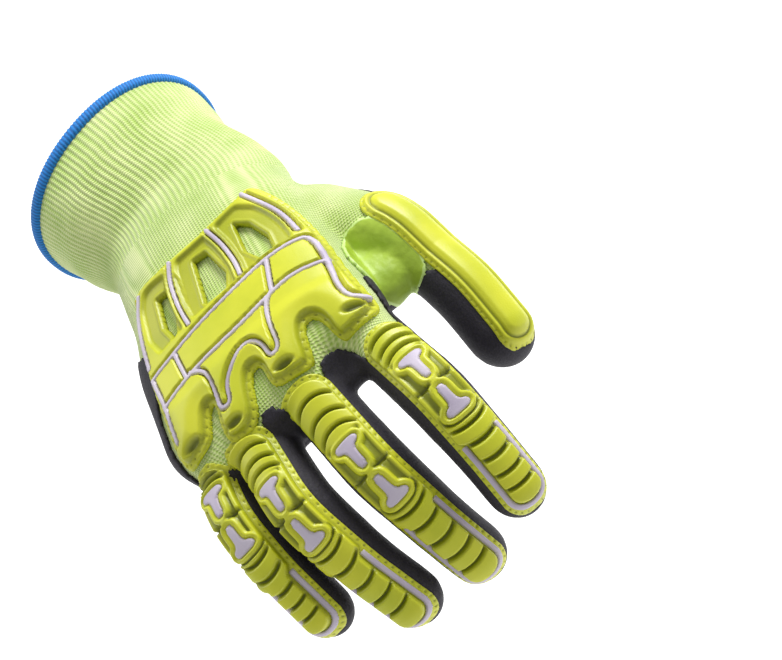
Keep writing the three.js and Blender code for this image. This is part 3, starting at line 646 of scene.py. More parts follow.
def cuff_ring(along, grow=0, overrun=0, sides=SIDES, relief=0):
    """A ring of the cuff, from 0 at the wrist to 1 at the mouth, as it leans away from the hand's line."""
    lean = float(smoothstep(along, 0, 0.7))
    turned = rotation(0, CUFF_PITCH * lean, CUFF_YAW * lean)
    columns = list(zip(*CUFF_SECTIONS))
    width, height, heel = (float(np.interp(along, columns[0], column)) for column in columns[1:])
    centre = turned @ np.array([-1, 0, 0]) * (along * CUFF_LENGTH + overrun)
    centre = centre - turned[:, 1] * heel * MOUTH[0]
    half_width = (WRIST[0] + (MOUTH[0] - WRIST[0]) * width) / 2 + grow
    half_height = (WRIST[1] + (MOUTH[1] - WRIST[1]) * height) / 2 + grow
    return fuller(oval(centre, turned[:, 1], turned[:, 2], half_width, half_height, SQUARE, sides, relief))


def palm_ring(x):
    columns = list(zip(*PALM_SECTIONS))
    width, height, y, z, square = (float(np.interp(x, columns[0], column)) for column in columns[1:])
    centre = (x * PALM_LENGTH, y * PALM_WIDTH, z * PALM_HEIGHT)
    half = (width * PALM_WIDTH / 2, height * PALM_HEIGHT / 2)
    return fuller(oval(centre, (0, 1, 0), (0, 0, 1), *half, square))


def digit_ring(digit, s):
    point, up = digit.line(np.array([s]))
    girth = float(digit.half(s))
    return oval(point[0], digit.side, up[0], girth * FINGER_WIDTH, girth * FINGER_HEIGHT, SQUARE)


WRIST_BLEND = 10
PALM_STEP = 0.04
DIGIT_STEP = 3
DOME_RINGS = (10, 22, 34, 46, 58, 70, 80)
WEB_SQUARE = 2.2
forms = []
wrist_ring = cuff_ring(0)
palm_start = palm_ring(PALM_SECTIONS[0][0])
palm_rings = [wrist_ring + (-WRIST_BLEND, 0, 0), wrist_ring]
palm_rings += [wrist_ring + (palm_start - wrist_ring) * t for t in (0.33, 0.67)]
palm_rings += [palm_ring(x) for x in np.arange(PALM_SECTIONS[0][0], 1.001, PALM_STEP)]
forms.append(ring_tube("palm_form", palm_rings))
for digit in digits.values():
    first = digit.table[0][0] * digit.length
    rings = [digit_ring(digit, s) for s in np.arange(first, digit.dome_start, DIGIT_STEP)]
    for turn in np.radians(DOME_RINGS):
        point, up = digit.line(np.array([digit.dome_start + digit.dome * math.sin(turn)]))
        size = float(digit.half(digit.dome_start)) * math.cos(turn)
        rings.append(oval(point[0], digit.side, up[0], size * FINGER_WIDTH, size * FINGER_HEIGHT, SQUARE))
    forms.append(ring_tube(digit.name + "_form", rings))
web = [oval((x * PALM_LENGTH, y * PALM_WIDTH, z * PALM_HEIGHT), (1, 0, 0), (0, 0, 1),
            long * PALM_LENGTH, high * PALM_HEIGHT, WEB_SQUARE) for x, y, z, long, high in WEB_SECTIONS]
forms.append(ring_tube("web_form", web))

# %% Liner form
VOXEL = 1.3
SMOOTHINGS = 8
CUT_BEHIND_WRIST = 2
bpy.ops.object.select_all(action="DESELECT")
for form in forms:
    form.select_set(True)
bpy.context.view_layer.objects.active = forms[0]
bpy.ops.object.join()
liner = forms[0]
liner.name = liner.data.name = "knit_liner"
liner.data.remesh_voxel_size = VOXEL * MM
bpy.ops.object.voxel_remesh()
bm = bmesh.new()
bm.from_mesh(liner.data)
for _ in range(SMOOTHINGS):
    bmesh.ops.smooth_vert(bm, verts=bm.verts, factor=0.5, use_axis_x=True, use_axis_y=True, use_axis_z=True)
bmesh.ops.bisect_plane(bm, geom=[*bm.verts, *bm.edges, *bm.faces], plane_no=(-1, 0, 0),
                       plane_co=(-CUT_BEHIND_WRIST * MM, 0, 0), clear_outer=True)
bmesh.ops.recalc_face_normals(bm, faces=bm.faces)
bm.to_mesh(liner.data)
bm.free()
liner.data.shade_smooth()
surface_points = coordinates(liner.data) / MM
surface_x, surface_y, surface_z = surface_points.T
surface = BVHTree.FromPolygons([v.co.copy() for v in liner.data.vertices],
                               [tuple(p.vertices) for p in liner.data.polygons])
print("liner", len(liner.data.polygons), "faces")

# %% [markdown]
# Every vertex of the liner also knows where it lies on its digit or on the palm, in millimetres. The knit
# pattern follows those numbers, and so do the edges of the coating and of the patch.

# %% Places on the cloth
SAMPLE_STEP = 2.0
ON_DIGIT_REACH = 1.18
ON_DIGIT_START = 2
FINGER_COLUMNS_START = 24
THUMB_COLUMNS_START = 60
digit_places = {}
for name, digit in digits.items():
    samples = np.arange(-10, digit.length + 8, SAMPLE_STEP)
    points, ups = digit.line(samples)
    away = np.full(len(surface_points), 1e9)
    nearest = np.zeros(len(surface_points), int)
    for i, point in enumerate(points):
        gap = np.linalg.norm(surface_points - point, axis=1)
        nearest = np.where(gap < away, i, nearest)
        away = np.minimum(away, gap)
    tangents = np.gradient(points, axis=0)
    tangents /= np.linalg.norm(tangents, axis=1)[:, None]
    s = samples[nearest] + np.einsum("ij,ij->i", surface_points - points[nearest], tangents[nearest])
    point, up = digit.line(s)
    gap = surface_points - point
    girth = np.maximum(digit.half(s), 0.2)
    side_part = (gap @ digit.side) / (girth * FINGER_WIDTH)
    up_part = np.einsum("ij,ij->i", gap, up) / (girth * FINGER_HEIGHT)
    turn = np.arctan2(side_part, up_part)
    reach = np.hypot(side_part, up_part)
    reach = np.where(s > digit.dome_start, 1, reach)
    digit_places[name] = dict(s=s, across=turn * digit.radius(s), sideways=gap @ digit.side, away=away,
                              above=up_part > 0.2, on=(reach < ON_DIGIT_REACH) & (s > ON_DIGIT_START))

# On the palm the columns run along X. Down the hand's edges height takes over from width, so that their
# pitch holds.
at_edge = np.sign(surface_y) * smoothstep(np.abs(surface_y), 15, 40)
across = surface_y - surface_z * at_edge
along = surface_x.copy()
closest = np.full(len(surface_points), 1e9)
for name, where in digit_places.items():
    start = THUMB_COLUMNS_START if name == "thumb" else FINGER_COLUMNS_START
    own = where["on"] & (where["away"] < closest) & (where["s"] > start)
    closest = np.where(own, where["away"], closest)
    across = np.where(own, where["across"], across)
    along = np.where(own, where["s"], along)


def carry(mesh, **values):
    """Gives every vertex of the mesh a number under each name, for a finish to read."""
    for key, numbers in values.items():
        layer = mesh.attributes.new(key, "FLOAT", "POINT")
        layer.data.foreach_set("value", np.asarray(numbers, np.float32))


carry(liner.data, across_mm=across, along_mm=along)
bare_liner = liner.data.copy()
give_wall(liner, KNIT_WALL, -1)
finish_piece(liner, "knit", knit, "knit_hand", *("knit_" + name for name in digits))

# %% [markdown]
# The coating and the patch lie on the liner, so each starts as a copy of its surface. A number at every
# vertex says how far inside its edge it is, and trimming where that number is nought gives a clean line.

# %% Outline of the back guard
# Its points are shares of the palm's length and width.
GUARD_OUTLINE = [
    (0.12, 0.312), (0.225, 0.38), (0.36, 0.425), (0.52, 0.445), (0.68, 0.455), (0.84, 0.48), (0.885, 0.455),
    (0.91, 0.34), (0.895, 0.3), (0.81, 0.285), (0.79, 0.25), (0.81, 0.217), (0.905, 0.178), (0.92, 0.137),
    (0.912, 0.01), (0.885, -0.008), (0.82, 0), (0.81, -0.03), (0.84, -0.062), (0.953, -0.12), (0.953, -0.25),
    (0.915, -0.278), (0.81, -0.232), (0.805, -0.258), (0.845, -0.29), (0.892, -0.325), (0.896, -0.455),
    (0.858, -0.488), (0.717, -0.46), (0.53, -0.443), (0.34, -0.415), (0.19, -0.352), (0.165, -0.318),
    (0.184, -0.136), (0.184, 0.068), (0.146, 0.25),
]


def on_palm(rows):
    return np.array([(x * PALM_LENGTH, y * PALM_WIDTH) for x, y in rows])


back_outline = rounded(on_palm(GUARD_OUTLINE), 2)


def guard_depth(digit, s, x):
    """How deep a place on a digit lies inside its guard's round-ended strip, in millimetres."""
    first, last = digit.guard_start + digit.guard_half, digit.guard_end - digit.guard_half
    past = np.maximum(first - s, s - last)
    return digit.guard_half - np.where(past > 0, np.hypot(past, x), np.abs(x))


# %% Edges of the coating and the patch
DIP_EDGE = [
    (0.05, -1.8), (0.05, -0.5), (0.13, -0.35), (0.25, -0.1), (0.38, 0.13), (0.88, 0.13), (0.905, 0.3),
    (0.905, 1.8), (2.5, 1.8), (2.5, -1.8),
]
LITTLE_SIDE_RISE = 10
# The knit shows a little past each knuckle, in a tongue that its guard then covers.
TONGUE_EDGE = 1.6
TONGUE_END = 7
TONGUE_TAPER = 3.5
TONGUE_REACH = 26
LITTLE_OUTER = 1.7
THUMB_BARE = [(0, 0.4), (0.62, 0.4), (0.62, 0.5), (0.4, 1), (0, 1)]
THUMB_BARE_LOW = -0.25
PATCH_CENTRE = np.array([0.566 * PALM_LENGTH, 0.585 * PALM_WIDTH, -0.2 * PALM_HEIGHT])
PATCH_RADII = np.array([0.165 * PALM_LENGTH, 0.19 * PALM_WIDTH, 0.42 * PALM_HEIGHT])
PATCH_GAP = 0.9
GUARD_GAP = -1.2
FAR = 99.0

# On the little finger's side the dip comes up to the guard, so it is read from lower down there.
higher = smoothstep(-surface_y, 15, 32) * smoothstep(surface_x, 32, 42)
side_view = surface_points[:, [0, 2]] - np.outer(higher, (0, LITTLE_SIDE_RISE))
dip = depth(side_view, np.array(DIP_EDGE) * (PALM_LENGTH, PALM_HEIGHT))[0]
from_back_guard = -depth(surface_points[:, :2], back_outline)[0] - GUARD_GAP
from_back_guard = np.where(surface_z > 0, from_back_guard, FAR)
from_digit_guards = np.full(len(surface_points), FAR)
tongues = np.full(len(surface_points), FAR)
for name, where in digit_places.items():
    digit = digits[name]
    x = where["across"] - math.radians(digit.turn) * digit.radius(where["s"])
    gap = -guard_depth(digit, where["s"], x) - GUARD_GAP
    from_digit_guards = np.where(where["on"], np.minimum(from_digit_guards, gap), from_digit_guards)
    if name in FINGERS:
        end = digit.guard_start + TONGUE_END
        taper = TONGUE_TAPER * smoothstep(where["s"], digit.guard_start - 4, end)
        half = digit.guard_half + TONGUE_EDGE - taper
        outer = LITTLE_OUTER if name == "little" else 1
        beside = np.maximum(where["sideways"], -outer * where["sideways"])
        tongue = np.maximum(beside - half, where["s"] - end)
        near = where["above"] & (where["away"] < TONGUE_REACH) & (where["s"] > -14)
        tongues = np.where(near, np.minimum(tongues, tongue), tongues)
bare = np.minimum(depth(surface_points[:, :2], on_palm(THUMB_BARE))[0],
                  surface_z - THUMB_BARE_LOW * PALM_HEIGHT)
patch_place = np.linalg.norm((surface_points - PATCH_CENTRE) / PATCH_RADII, axis=1)
patch_depth = (1 - patch_place) * PATCH_RADII.mean()
patch_depth = np.minimum(patch_depth, np.minimum(from_back_guard, from_digit_guards))
coat_depth = np.minimum.reduce(
    [dip, from_back_guard, from_digit_guards, tongues, -bare, PATCH_GAP - patch_depth])

EVEN_LIMIT = 4
EVEN_ROUNDS = 40
SKIN_LIFT = 0.1


def evened(value):
    """The value, limited and averaged along the mesh's edges, so a trimmed edge runs smoothly."""
    value = np.clip(value, -EVEN_LIMIT, EVEN_LIMIT)
    edges = np.empty(len(bare_liner.edges) * 2, np.int32)
    bare_liner.edges.foreach_get("vertices", edges)
    first, second = edges.reshape(-1, 2).T
    count = np.bincount(first, minlength=len(value)) + np.bincount(second, minlength=len(value))
    for _ in range(EVEN_ROUNDS):
        around = np.bincount(first, value[second], len(value)) + np.bincount(second, value[first], len(value))
        value = (value + around / count) / 2
    return value


def skin_piece(name, value, thickness, slot, material, node):
    """A skin on the liner where value is over nought, lifted off it and given a wall outwards."""
    bm = bmesh.new()
    bm.from_mesh(bare_liner)
    layer = bm.verts.layers.float.new("edge_mm")
    for vert, number in zip(bm.verts, value):
        vert[layer] = number
    trim(bm, value)
    for vert in bm.verts:
        vert.co += vert.normal * SKIN_LIFT * MM
    obj = piece(name, bm)
    give_wall(obj, thickness, 1)
    finish_piece(obj, slot, material, node)


skin_piece("palm_coating_skin", evened(coat_depth), COAT_WALL, "coating", coating, "palm_coating")
skin_piece("crotch_patch_film", evened(patch_depth), PATCH_WALL, "patch_film", patch_film, "crotch_patch")

# %% [markdown]
# A moulded guard is modelled flat, as a fine sheet with a height at every point, and is then wrapped over
# the digit. The sheet is a grid, trimmed to the outline and thickened, so its edge is crisp.

# %% Flat slabs


def slab(name, low, high, step, deep):
    """A thickened grid over a box, trimmed where deep is nought, its flat places and which are on top."""
    counts = [max(2, math.ceil((b - a) / step)) for a, b in zip(low, high)]
    bm = bmesh.new()
    bmesh.ops.create_grid(bm, x_segments=counts[0], y_segments=counts[1], size=0.5)
    for vert in bm.verts:
        vert.co.x = low[0] + (vert.co.x + 0.5) * (high[0] - low[0])
        vert.co.y = low[1] + (vert.co.y + 0.5) * (high[1] - low[1])
    trim(bm, deep(np.array([v.co.xy for v in bm.verts])))
    bmesh.ops.solidify(bm, geom=bm.faces[:], thickness=1)
    obj = piece(name, bm)
    flat = coordinates(obj.data)
    return obj, flat[:, :2], flat[:, 2] > flat[:, 2].mean()


def shape(obj, points):
    """Moves the slab's vertices to their points on the hand, and turns its faces outwards."""
    place(obj.data, points * MM)
    bm = bmesh.new()
    bm.from_mesh(obj.data)
    bmesh.ops.recalc_face_normals(bm, faces=bm.faces)
    bm.to_mesh(obj.data)
    bm.free()


LIFT_REACH = 5
WIDEST_TURN = 1.18


def above_liner(base, out):
    """How far the liner stands over each base point, as the palm does at a finger's root."""
    lift = np.zeros(len(base))
    for i, (start, way) in enumerate(zip((base + out * LIFT_REACH) * MM, out)):
        hit, normal, _, distance = surface.ray_cast(start, -way, 2 * LIFT_REACH * MM)
        if hit is not None and normal @ Vector(way) > 0:
            lift[i] = max(0, LIFT_REACH - distance / MM)
    return lift


def on_digit(digit, flat, height):
    """Flat places of a digit's guard laid on the digit, at a height over the knit."""
    s, x = flat.T
    edge = np.maximum(digit.radius(s), 1)
    turn = np.clip(x / edge, -WIDEST_TURN, WIDEST_TURN) + math.radians(digit.turn)
    base, over = digit.wrap(s, turn, np.zeros(len(s))), digit.wrap(s, turn, np.ones(len(s)))
    out = over - base
    length = np.linalg.norm(out, axis=1)[:, None]
    lift = above_liner(base, out / length)
    return base + out * (CLEARANCE + height)[:, None] + out / length * lift[:, None]


# %% Relief of a finger guard
GUARD_STEP = 0.4
BONE_HALF = [(1.4, 0), (1.4, 1), (5.4, 1), (7, 1.4), (7.6, 2.6), (8.6, 3.2), (9.6, 3.1), (10.5, 2), (10.8, 0)]
REAR_GROOVES = (0.46, 0.73, 0.95)
REAR_BOW = -0.13
FRONT_GROOVES = (0.05, 0.2, 0.35, 0.5, 0.65)
FRONT_BOW = 0.05
GROOVE_DEPTH = 2.3
GROOVE_HALF = 1.15
TIP_LINE_INSET = 3.3
TIP_LINE_WIDTH = 1.9
STITCH_PITCH = 2.7
HOLE_INSET = 1.25
HOLE_DEPTH = 0.6
CORE_BEVEL = 1.0
CORE_ARCH = 0.35
TIP_LINE_ROOM = 1.9
GROUND_DEPTH = 1.3
BONE_RIM_HEIGHT = 0.5
SEAT_DEPTH = 0.6
CROSS_DEPTH = 1.5
CROSS_HALF = 0.8
ARC_DEPTH = 1.4
ARC_GAP = 2.3
ARC_HALF = 0.65
THUMB_HOLE_INSET = 1.15
THUMB_CHANNEL_INSET = 3.5
THUMB_STEP = 0.9


def bone_outline(way):
    """The outline of one inlay from the joint, with way 1 to the fingertip and -1 to the knuckle."""
    upper = np.array(BONE_HALF[1:-1])
    loop = np.vstack([upper, upper[::-1] * (1, -1)])
    return rounded(loop, 2) * (way, 1)


def groove(gap, half):
    """A round profile, 1 where gap is nought and 0 beyond half on both sides."""
    return np.cos(np.pi / 2 * np.clip(np.abs(gap) / half, 0, 1)) ** 2


def stitches(deep, along, inset, pitch=STITCH_PITCH, size=0.36):
    """Small round dents where the thread goes down through the flange."""
    beside = (along + pitch / 2) % pitch - pitch / 2
    return np.exp(-((deep - inset) ** 2 + beside ** 2) / size ** 2)


def bevel(deep, width, least=0):
    """A rounded shoulder that comes up from the edge to 1 at width."""
    return np.sqrt(np.clip(1 - (1 - np.clip(deep / width, 0, 1)) ** 2, least, 1))


def rim(deep, height):
    return height * bevel(deep, 0.6, 0.02)


def perimeter(digit, s, x):
    """How far along the guard's edge each place is, to space the stitch holes."""
    first, last = digit.guard_start + digit.guard_half, digit.guard_end - digit.guard_half
    end = np.where(s < first, first, np.where(s > last, last, s))
    return np.where(s == end, s, end + digit.guard_half * np.arctan2(np.abs(s - end), np.abs(x) + 1e-6)
                    * np.sign(s - end))


def finger_relief(digit, flat):
    """The height of a finger guard's top, and how much painted shade each place on it gets, in its recesses.
    """
    s, x = flat.T
    deep = guard_depth(digit, s, x)
    core_half = digit.guard_half - FLANGE_WIDTH - 0.8
    start = digit.tip_line_start
    core_edge = FLANGE_WIDTH - 0.1 + TIP_LINE_ROOM * smoothstep(s, start - 2, start + 1)
    core = smoothstep(deep - core_edge, 0, CORE_BEVEL)
    arch = 1 - (x / core_half) ** 2
    joint = digit.joints[1]
    taper = np.clip(1.25 - (x / core_half) ** 4, 0, 1)
    dents = np.zeros(len(s))
    stretch = joint - BONE_REACH - digit.guard_start
    for share in REAR_GROOVES:
        at = digit.guard_start + stretch * (share + REAR_BOW * arch)
        dents = np.maximum(dents, groove(s - at, GROOVE_HALF))
    stretch = digit.guard_end - joint - BONE_REACH
    for share in FRONT_GROOVES:
        at = joint + BONE_REACH + stretch * (share + FRONT_BOW * arch)
        dents = np.maximum(dents, groove(s - at, GROOVE_HALF))
    dents = dents * taper
    bones = np.maximum(*(depth(flat - (joint, 0), bone_outline(way))[0] for way in (-1, 1)))
    beside = 1 - smoothstep(np.abs(s - joint), BONE_REACH - 1, BONE_REACH + 1)
    top = CORE_LIFT + CORE_ARCH * arch - GROOVE_DEPTH * dents
    ground = beside * (1 - smoothstep(bones, -2.1, -1.6)) * smoothstep(deep, 4.1, 4.5)
    top -= GROUND_DEPTH * ground
    top += BONE_RIM_HEIGHT * groove(bones + 1.0, 0.75) * beside
    top -= SEAT_DEPTH * smoothstep(bones, -0.45, -0.15)
    cross = groove(s - joint, CROSS_HALF) * smoothstep(np.abs(x), 0.8, 1.4)
    top -= CROSS_DEPTH * beside * cross
    arc = groove(bones + ARC_GAP, ARC_HALF)
    arc = arc * between(s - joint, 7, 9, BONE_REACH + 2, BONE_REACH + 4)
    top -= ARC_DEPTH * arc
    holes = stitches(deep, perimeter(digit, s, x), HOLE_INSET)
    # Painted shade in the grooves, the inlays' ground, the cross groove, the arcs, the stitch holes and round
    # the core.
    hollow = core * np.maximum.reduce([dents, 0.75 * ground, cross * beside, arc])
    hollow = np.maximum.reduce([hollow, 0.8 * holes, 0.55 * groove(deep - core_edge - 0.1, 0.8)])
    return rim(deep, FLANGE_WALL) - HOLE_DEPTH * holes + core * top, hollow


def thumb_relief(digit, flat):
    """The same for the thumb's guard, which is a bare pad inside a channel and a border."""
    s, x = flat.T
    deep = guard_depth(digit, s, x)
    holes = stitches(deep, perimeter(digit, s, x), THUMB_HOLE_INSET, size=0.3)
    channel = groove(deep - THUMB_CHANNEL_INSET, 0.65)
    border = THUMB_STEP * smoothstep(deep, 1.6, 2.1) - THUMB_STEP * channel
    pad = THUMB_STEP * smoothstep(deep, 3.7, 6)
    # The second number is painted shade in the stitch holes and the channel.
    return rim(deep, FLANGE_WALL) - 0.5 * holes + border + pad, np.maximum(0.7 * holes, 0.8 * channel)


def guard_piece(node, low, high, step, deep, relief_at, lay):
    """A moulded guard: a flat slab with relief_at's heights on top, laid on the hand or on a digit."""
    obj, flat, top = slab(node + "_rubber", low, high, step, deep)
    relief, hollow = relief_at(flat)
    # The recesses' painted shade goes on the mesh for the finish to read.
    carry(obj.data, hollow=hollow)
    shape(obj, lay(flat, np.where(top, relief, 0)))
    finish_piece(obj, "guard_rubber", rubber, node)


for name, digit in digits.items():
    corner = np.array([digit.guard_start, -digit.guard_half])
    far_corner = np.array([digit.guard_end, digit.guard_half])
    relief_of = thumb_relief if name == "thumb" else finger_relief
    guard_piece(name + "_guard", corner - GUARD_STEP / 2, far_corner + GUARD_STEP / 2, GUARD_STEP,
                lambda flat: guard_depth(digit, *flat.T), lambda flat: relief_of(digit, flat),
                lambda flat, height: on_digit(digit, flat, height))

# %% [markdown]
# Two bone-shaped inlays lie end to end over each finger's middle joint, in a recess of the guard's top,
# and a pale line runs round the guard's end between its flange and its core.

# %% Inlays of the fingers
BONE_TOP = FLANGE_WALL + CORE_LIFT + 0.45
BONE_BOTTOM = FLANGE_WALL + CORE_LIFT - 0.5
BONE_MARGIN = 0.2
TIP_LINE_BOTTOM = FLANGE_WALL - 0.3
TIP_LINE_TOP = FLANGE_WALL + 0.75
INLAY_STEP = 0.33
INLAY_BEVEL = 0.5
INLAY_FLANK = 0.45


def inlay_piece(name, nodes, low, high, deep, bottom, height, lay, step=INLAY_STEP, flank=INLAY_FLANK):
    """An inlay between two heights, its top rounded off above the flank's share of its thickness."""
    obj, flat, top = slab(name + "_inlay", low, high, step, deep)
    share = flank + (1 - flank) * bevel(deep(flat), INLAY_BEVEL)
    shape(obj, lay(flat, np.where(top, bottom + (height - bottom) * share, bottom)))
    finish_piece(obj, "inlay_rubber", inlay, *nodes)


for name in FINGERS:
    digit = digits[name]
    start, reach = digit.tip_line_start, digit.guard_half

    def on_this(flat, height):
        return on_digit(digit, flat, height)

    def tip_line_depth(flat):
        from_line = np.abs(guard_depth(digit, *flat.T) - TIP_LINE_INSET)
        return np.minimum(TIP_LINE_WIDTH / 2 - from_line, flat[:, 0] - start)

    for way, word in ((-1, "rear"), (1, "front")):
        node = f"{name}_bone_{word}"
        outline = bone_outline(way) + (digit.joints[1], 0)
        inlay_piece(node, [node], outline.min(0) - BONE_MARGIN, outline.max(0) + BONE_MARGIN,
                    lambda flat: depth(flat, outline)[0], BONE_BOTTOM, BONE_TOP, on_this)
    inlay_piece(name + "_tip_line", [], (start - 0.5, -reach), (digit.guard_end, reach), tip_line_depth,
                TIP_LINE_BOTTOM, TIP_LINE_TOP, on_this)

# %% [markdown]
# The back guard is one plate moulded to the back of the hand. It is modelled flat too, and draped over a
# smooth map of the hand's height. Its pads rise from a sewn rim, with channels for the pale lines and
# three windows to the knit.

# %% Map of the back of the hand
MAP_STEP = 1.5
MAP_TOP = 80
LOWEST = -6
STEEPEST = 1.6
map_x = np.arange(0, 118, MAP_STEP)
map_y = np.arange(-52, 60, MAP_STEP)
hand_map = np.full((len(map_x), len(map_y)), np.nan)
for i, x in enumerate(map_x):
    for j, y in enumerate(map_y):
        hit = surface.ray_cast(Vector((x, y, MAP_TOP)) * MM, Vector((0, 0, -1)))[0]
        if hit is not None:
            hand_map[i, j] = hit.z / MM
hand_map = np.where(np.isnan(hand_map), LOWEST, np.maximum(hand_map, LOWEST))
for _ in range(3):
    for axis in (0, 1):
        hand_map = (np.roll(hand_map, 1, axis) + 2 * hand_map + np.roll(hand_map, -1, axis)) / 4
slopes = [np.clip(slope, -STEEPEST, STEEPEST) for slope in np.gradient(hand_map, MAP_STEP)]


def from_map(grid, flat):
    """Reads a grid of the hand between its points."""
    x = np.clip((flat[:, 0] - map_x[0]) / MAP_STEP, 0, len(map_x) - 1.001)
    y = np.clip((flat[:, 1] - map_y[0]) / MAP_STEP, 0, len(map_y) - 1.001)
    i, j = x.astype(int), y.astype(int)
    a, b = x - i, y - j
    near = grid[i, j] * (1 - b) + grid[i, j + 1] * b
    far = grid[i + 1, j] * (1 - b) + grid[i + 1, j + 1] * b
    return near * (1 - a) + far * a


def on_hand(flat, height):
    """Flat places over the back of the hand laid on it, at a height over the knit."""
    normal = np.stack([-from_map(slopes[0], flat), -from_map(slopes[1], flat), np.ones(len(flat))], 1)
    normal /= np.linalg.norm(normal, axis=1)[:, None]
    base = np.column_stack([flat, from_map(hand_map, flat)])
    return base + normal * (CLEARANCE + height)[:, None]


# %% Lines and windows of the back guard
COLUMN_LINES = {
    "index": [(0.16, 0.267), (0.245, 0.318), (0.33, 0.358), (0.434, 0.375)],
    "middle": [(0.205, 0.08), (0.3, 0.108), (0.4, 0.119), (0.47, 0.114)],
    "ring": [(0.205, -0.119), (0.274, -0.153), (0.387, -0.17), (0.49, -0.165)],
    "little": [(0.205, -0.3), (0.278, -0.352), (0.387, -0.386), (0.49, -0.403)],
}
BAND_LINES = [
    [(0.542, -0.41), (0.542, -0.273), (0.51, 0.062), (0.486, 0.227), (0.476, 0.34), (0.481, 0.4),
     (0.623, 0.41), (0.79, 0.395), (0.825, 0.45)],
    [(0.679, -0.41), (0.665, -0.273), (0.656, 0.011), (0.632, 0.17), (0.613, 0.273), (0.623, 0.41)],
    [(0.542, -0.273), (0.665, -0.273)],
    [(0.486, 0.227), (0.623, 0.188)],
    [(0.542, -0.41), (0.679, -0.41), (0.81, -0.435)],
    [(0.623, 0.188), (0.651, 0.142), (0.731, 0.119), (0.821, 0.108), (0.83, 0.057), (0.77, 0.057),
     (0.731, 0.023), (0.731, -0.034), (0.759, -0.091), (0.802, -0.148), (0.858, -0.165), (0.853, -0.216),
     (0.8, -0.199), (0.74, -0.188), (0.693, -0.199), (0.66, -0.25)],
]
WINDOWS = [
    [(0.25, 0.185), (0.29, 0.236), (0.38, 0.272), (0.445, 0.268), (0.455, 0.215), (0.385, 0.175)],
    [(0.27, -0.03), (0.275, 0.03), (0.41, 0.062), (0.475, 0.03), (0.465, -0.068)],
    [(0.28, -0.24), (0.29, -0.19), (0.4, -0.202), (0.492, -0.243), (0.4, -0.268)],
]
DIMPLES = [(89.5, 35.6), (92.6, 7.2), (96.1, -17.6), (91, -34)]
DIMPLE_HALF = (1.6, 4.5)
DIMPLE_DEPTH = 2.2
KNUCKLE_RISE = 1.0
SHELF_DEPTH = 1.5
SHELF_FADE = (0.47, 0.5)
WINDOW_RIM_INSET = 1.3
WINDOW_RIM_HEIGHT = 0.4
BACK_HOLE_PITCH = 3.1
BACK_HOLE_DEPTH = 0.7
BACK_LINE_WIDTH = 1.8
BACK_LINE_FLANK = 0.6
BACK_LINE_STEP = 0.36
BACK_STEP = 0.48

windows = [cornered(on_palm(rows)) for rows in WINDOWS]
back_lines = {name: [rounded(on_palm(rows), 2, False)] for name, rows in COLUMN_LINES.items()}
back_lines["band"] = [rounded(on_palm(rows), 2, False) for rows in BAND_LINES]
all_lines = [path for paths in back_lines.values() for path in paths]


def from_paths(flat, paths):
    return np.minimum.reduce([to_path(flat, path)[0] for path in paths])


def from_windows(flat):
    return np.minimum.reduce([-depth(flat, window)[0] for window in windows])


def back_depth(flat):
    return np.minimum(depth(flat, back_outline)[0], from_windows(flat))


def back_relief(flat):
    """The height of the back guard's top, and how much painted shade each place on it gets, in its recesses.
    """
    deep, along = depth(flat, back_outline)
    x = flat[:, 0] / PALM_LENGTH
    line_gap = from_paths(flat, all_lines)
    window_gap = from_windows(flat)
    core = smoothstep(deep, 2.0, 3.0)
    knuckle = smoothstep(x, 0.68, 0.74) * smoothstep(deep, 2.5, 8.5)
    near_window = (1 - smoothstep(window_gap, 6.0, 7.5)) * (1 - smoothstep(x, *SHELF_FADE))
    wall = np.minimum(line_gap - 1.0, deep - 3.2)
    shelf = near_window * smoothstep(wall, 0.6, 2.4)
    channel = 1 - smoothstep(line_gap, BACK_LINE_WIDTH / 2 + 0.1, BACK_LINE_WIDTH / 2 + 0.7)
    top = PAD_LIFT * core + KNUCKLE_RISE * knuckle - SHELF_DEPTH * shelf
    top = top + WINDOW_RIM_HEIGHT * groove(window_gap - WINDOW_RIM_INSET, 0.8) * shelf
    top = top * (1 - channel)
    pits = np.zeros(len(flat))
    for centre in DIMPLES:
        reach = np.hypot(*((flat - centre) / DIMPLE_HALF).T)
        pits = np.maximum(pits, 1 - smoothstep(reach, 0.35, 1.1))
    top = top - DIMPLE_DEPTH * pits
    holes = stitches(deep, along, HOLE_INSET, BACK_HOLE_PITCH, 0.3) * (x > 0.2)
    base = np.minimum(rim(deep, PLATE_WALL), rim(np.clip(window_gap, 0, 9), PLATE_WALL))
    slope = groove(wall - 1.4, 1.2) * near_window
    foot = groove(deep - 2.2, 0.9)
    # Painted shade in the dimples, the stitch holes, the slopes and shelves by the windows, and at the pads'
    # foot.
    hollow = np.maximum.reduce([0.9 * pits, 0.7 * holes, 0.55 * slope, 0.35 * shelf, 0.5 * foot])
    return base - BACK_HOLE_DEPTH * holes + top, hollow


guard_piece("back_guard", back_outline.min(0) - 0.5, back_outline.max(0) + 0.5, BACK_STEP, back_depth,
            back_relief, on_hand)

LINE_BOTTOM = PLATE_WALL - 0.2
LINE_TOP = PLATE_WALL + PAD_LIFT - 0.3
LINE_MARGIN = 1.2
for name, paths in back_lines.items():
    node = "back_line_" + name
    every = np.vstack(paths)
    inlay_piece(node, [node], every.min(0) - LINE_MARGIN, every.max(0) + LINE_MARGIN,
                lambda flat: BACK_LINE_WIDTH / 2 - from_paths(flat, paths), LINE_BOTTOM, LINE_TOP, on_hand,
                BACK_LINE_STEP, BACK_LINE_FLANK)

# %% [markdown]
# The cuff is ribbed knit: its ribs run from the wrist to the mouth and spread as it flares. They are real
# relief here, because they show against the light, and only the loops inside a rib are left to the finish.

# %% Cuff
RIBS = 112
RIB_SIDES = 7
CUFF_ROWS = 50
RIB_HEIGHT = 0.1
CUFF_INSET = 0.2
WAIST_WAVE = 0.25


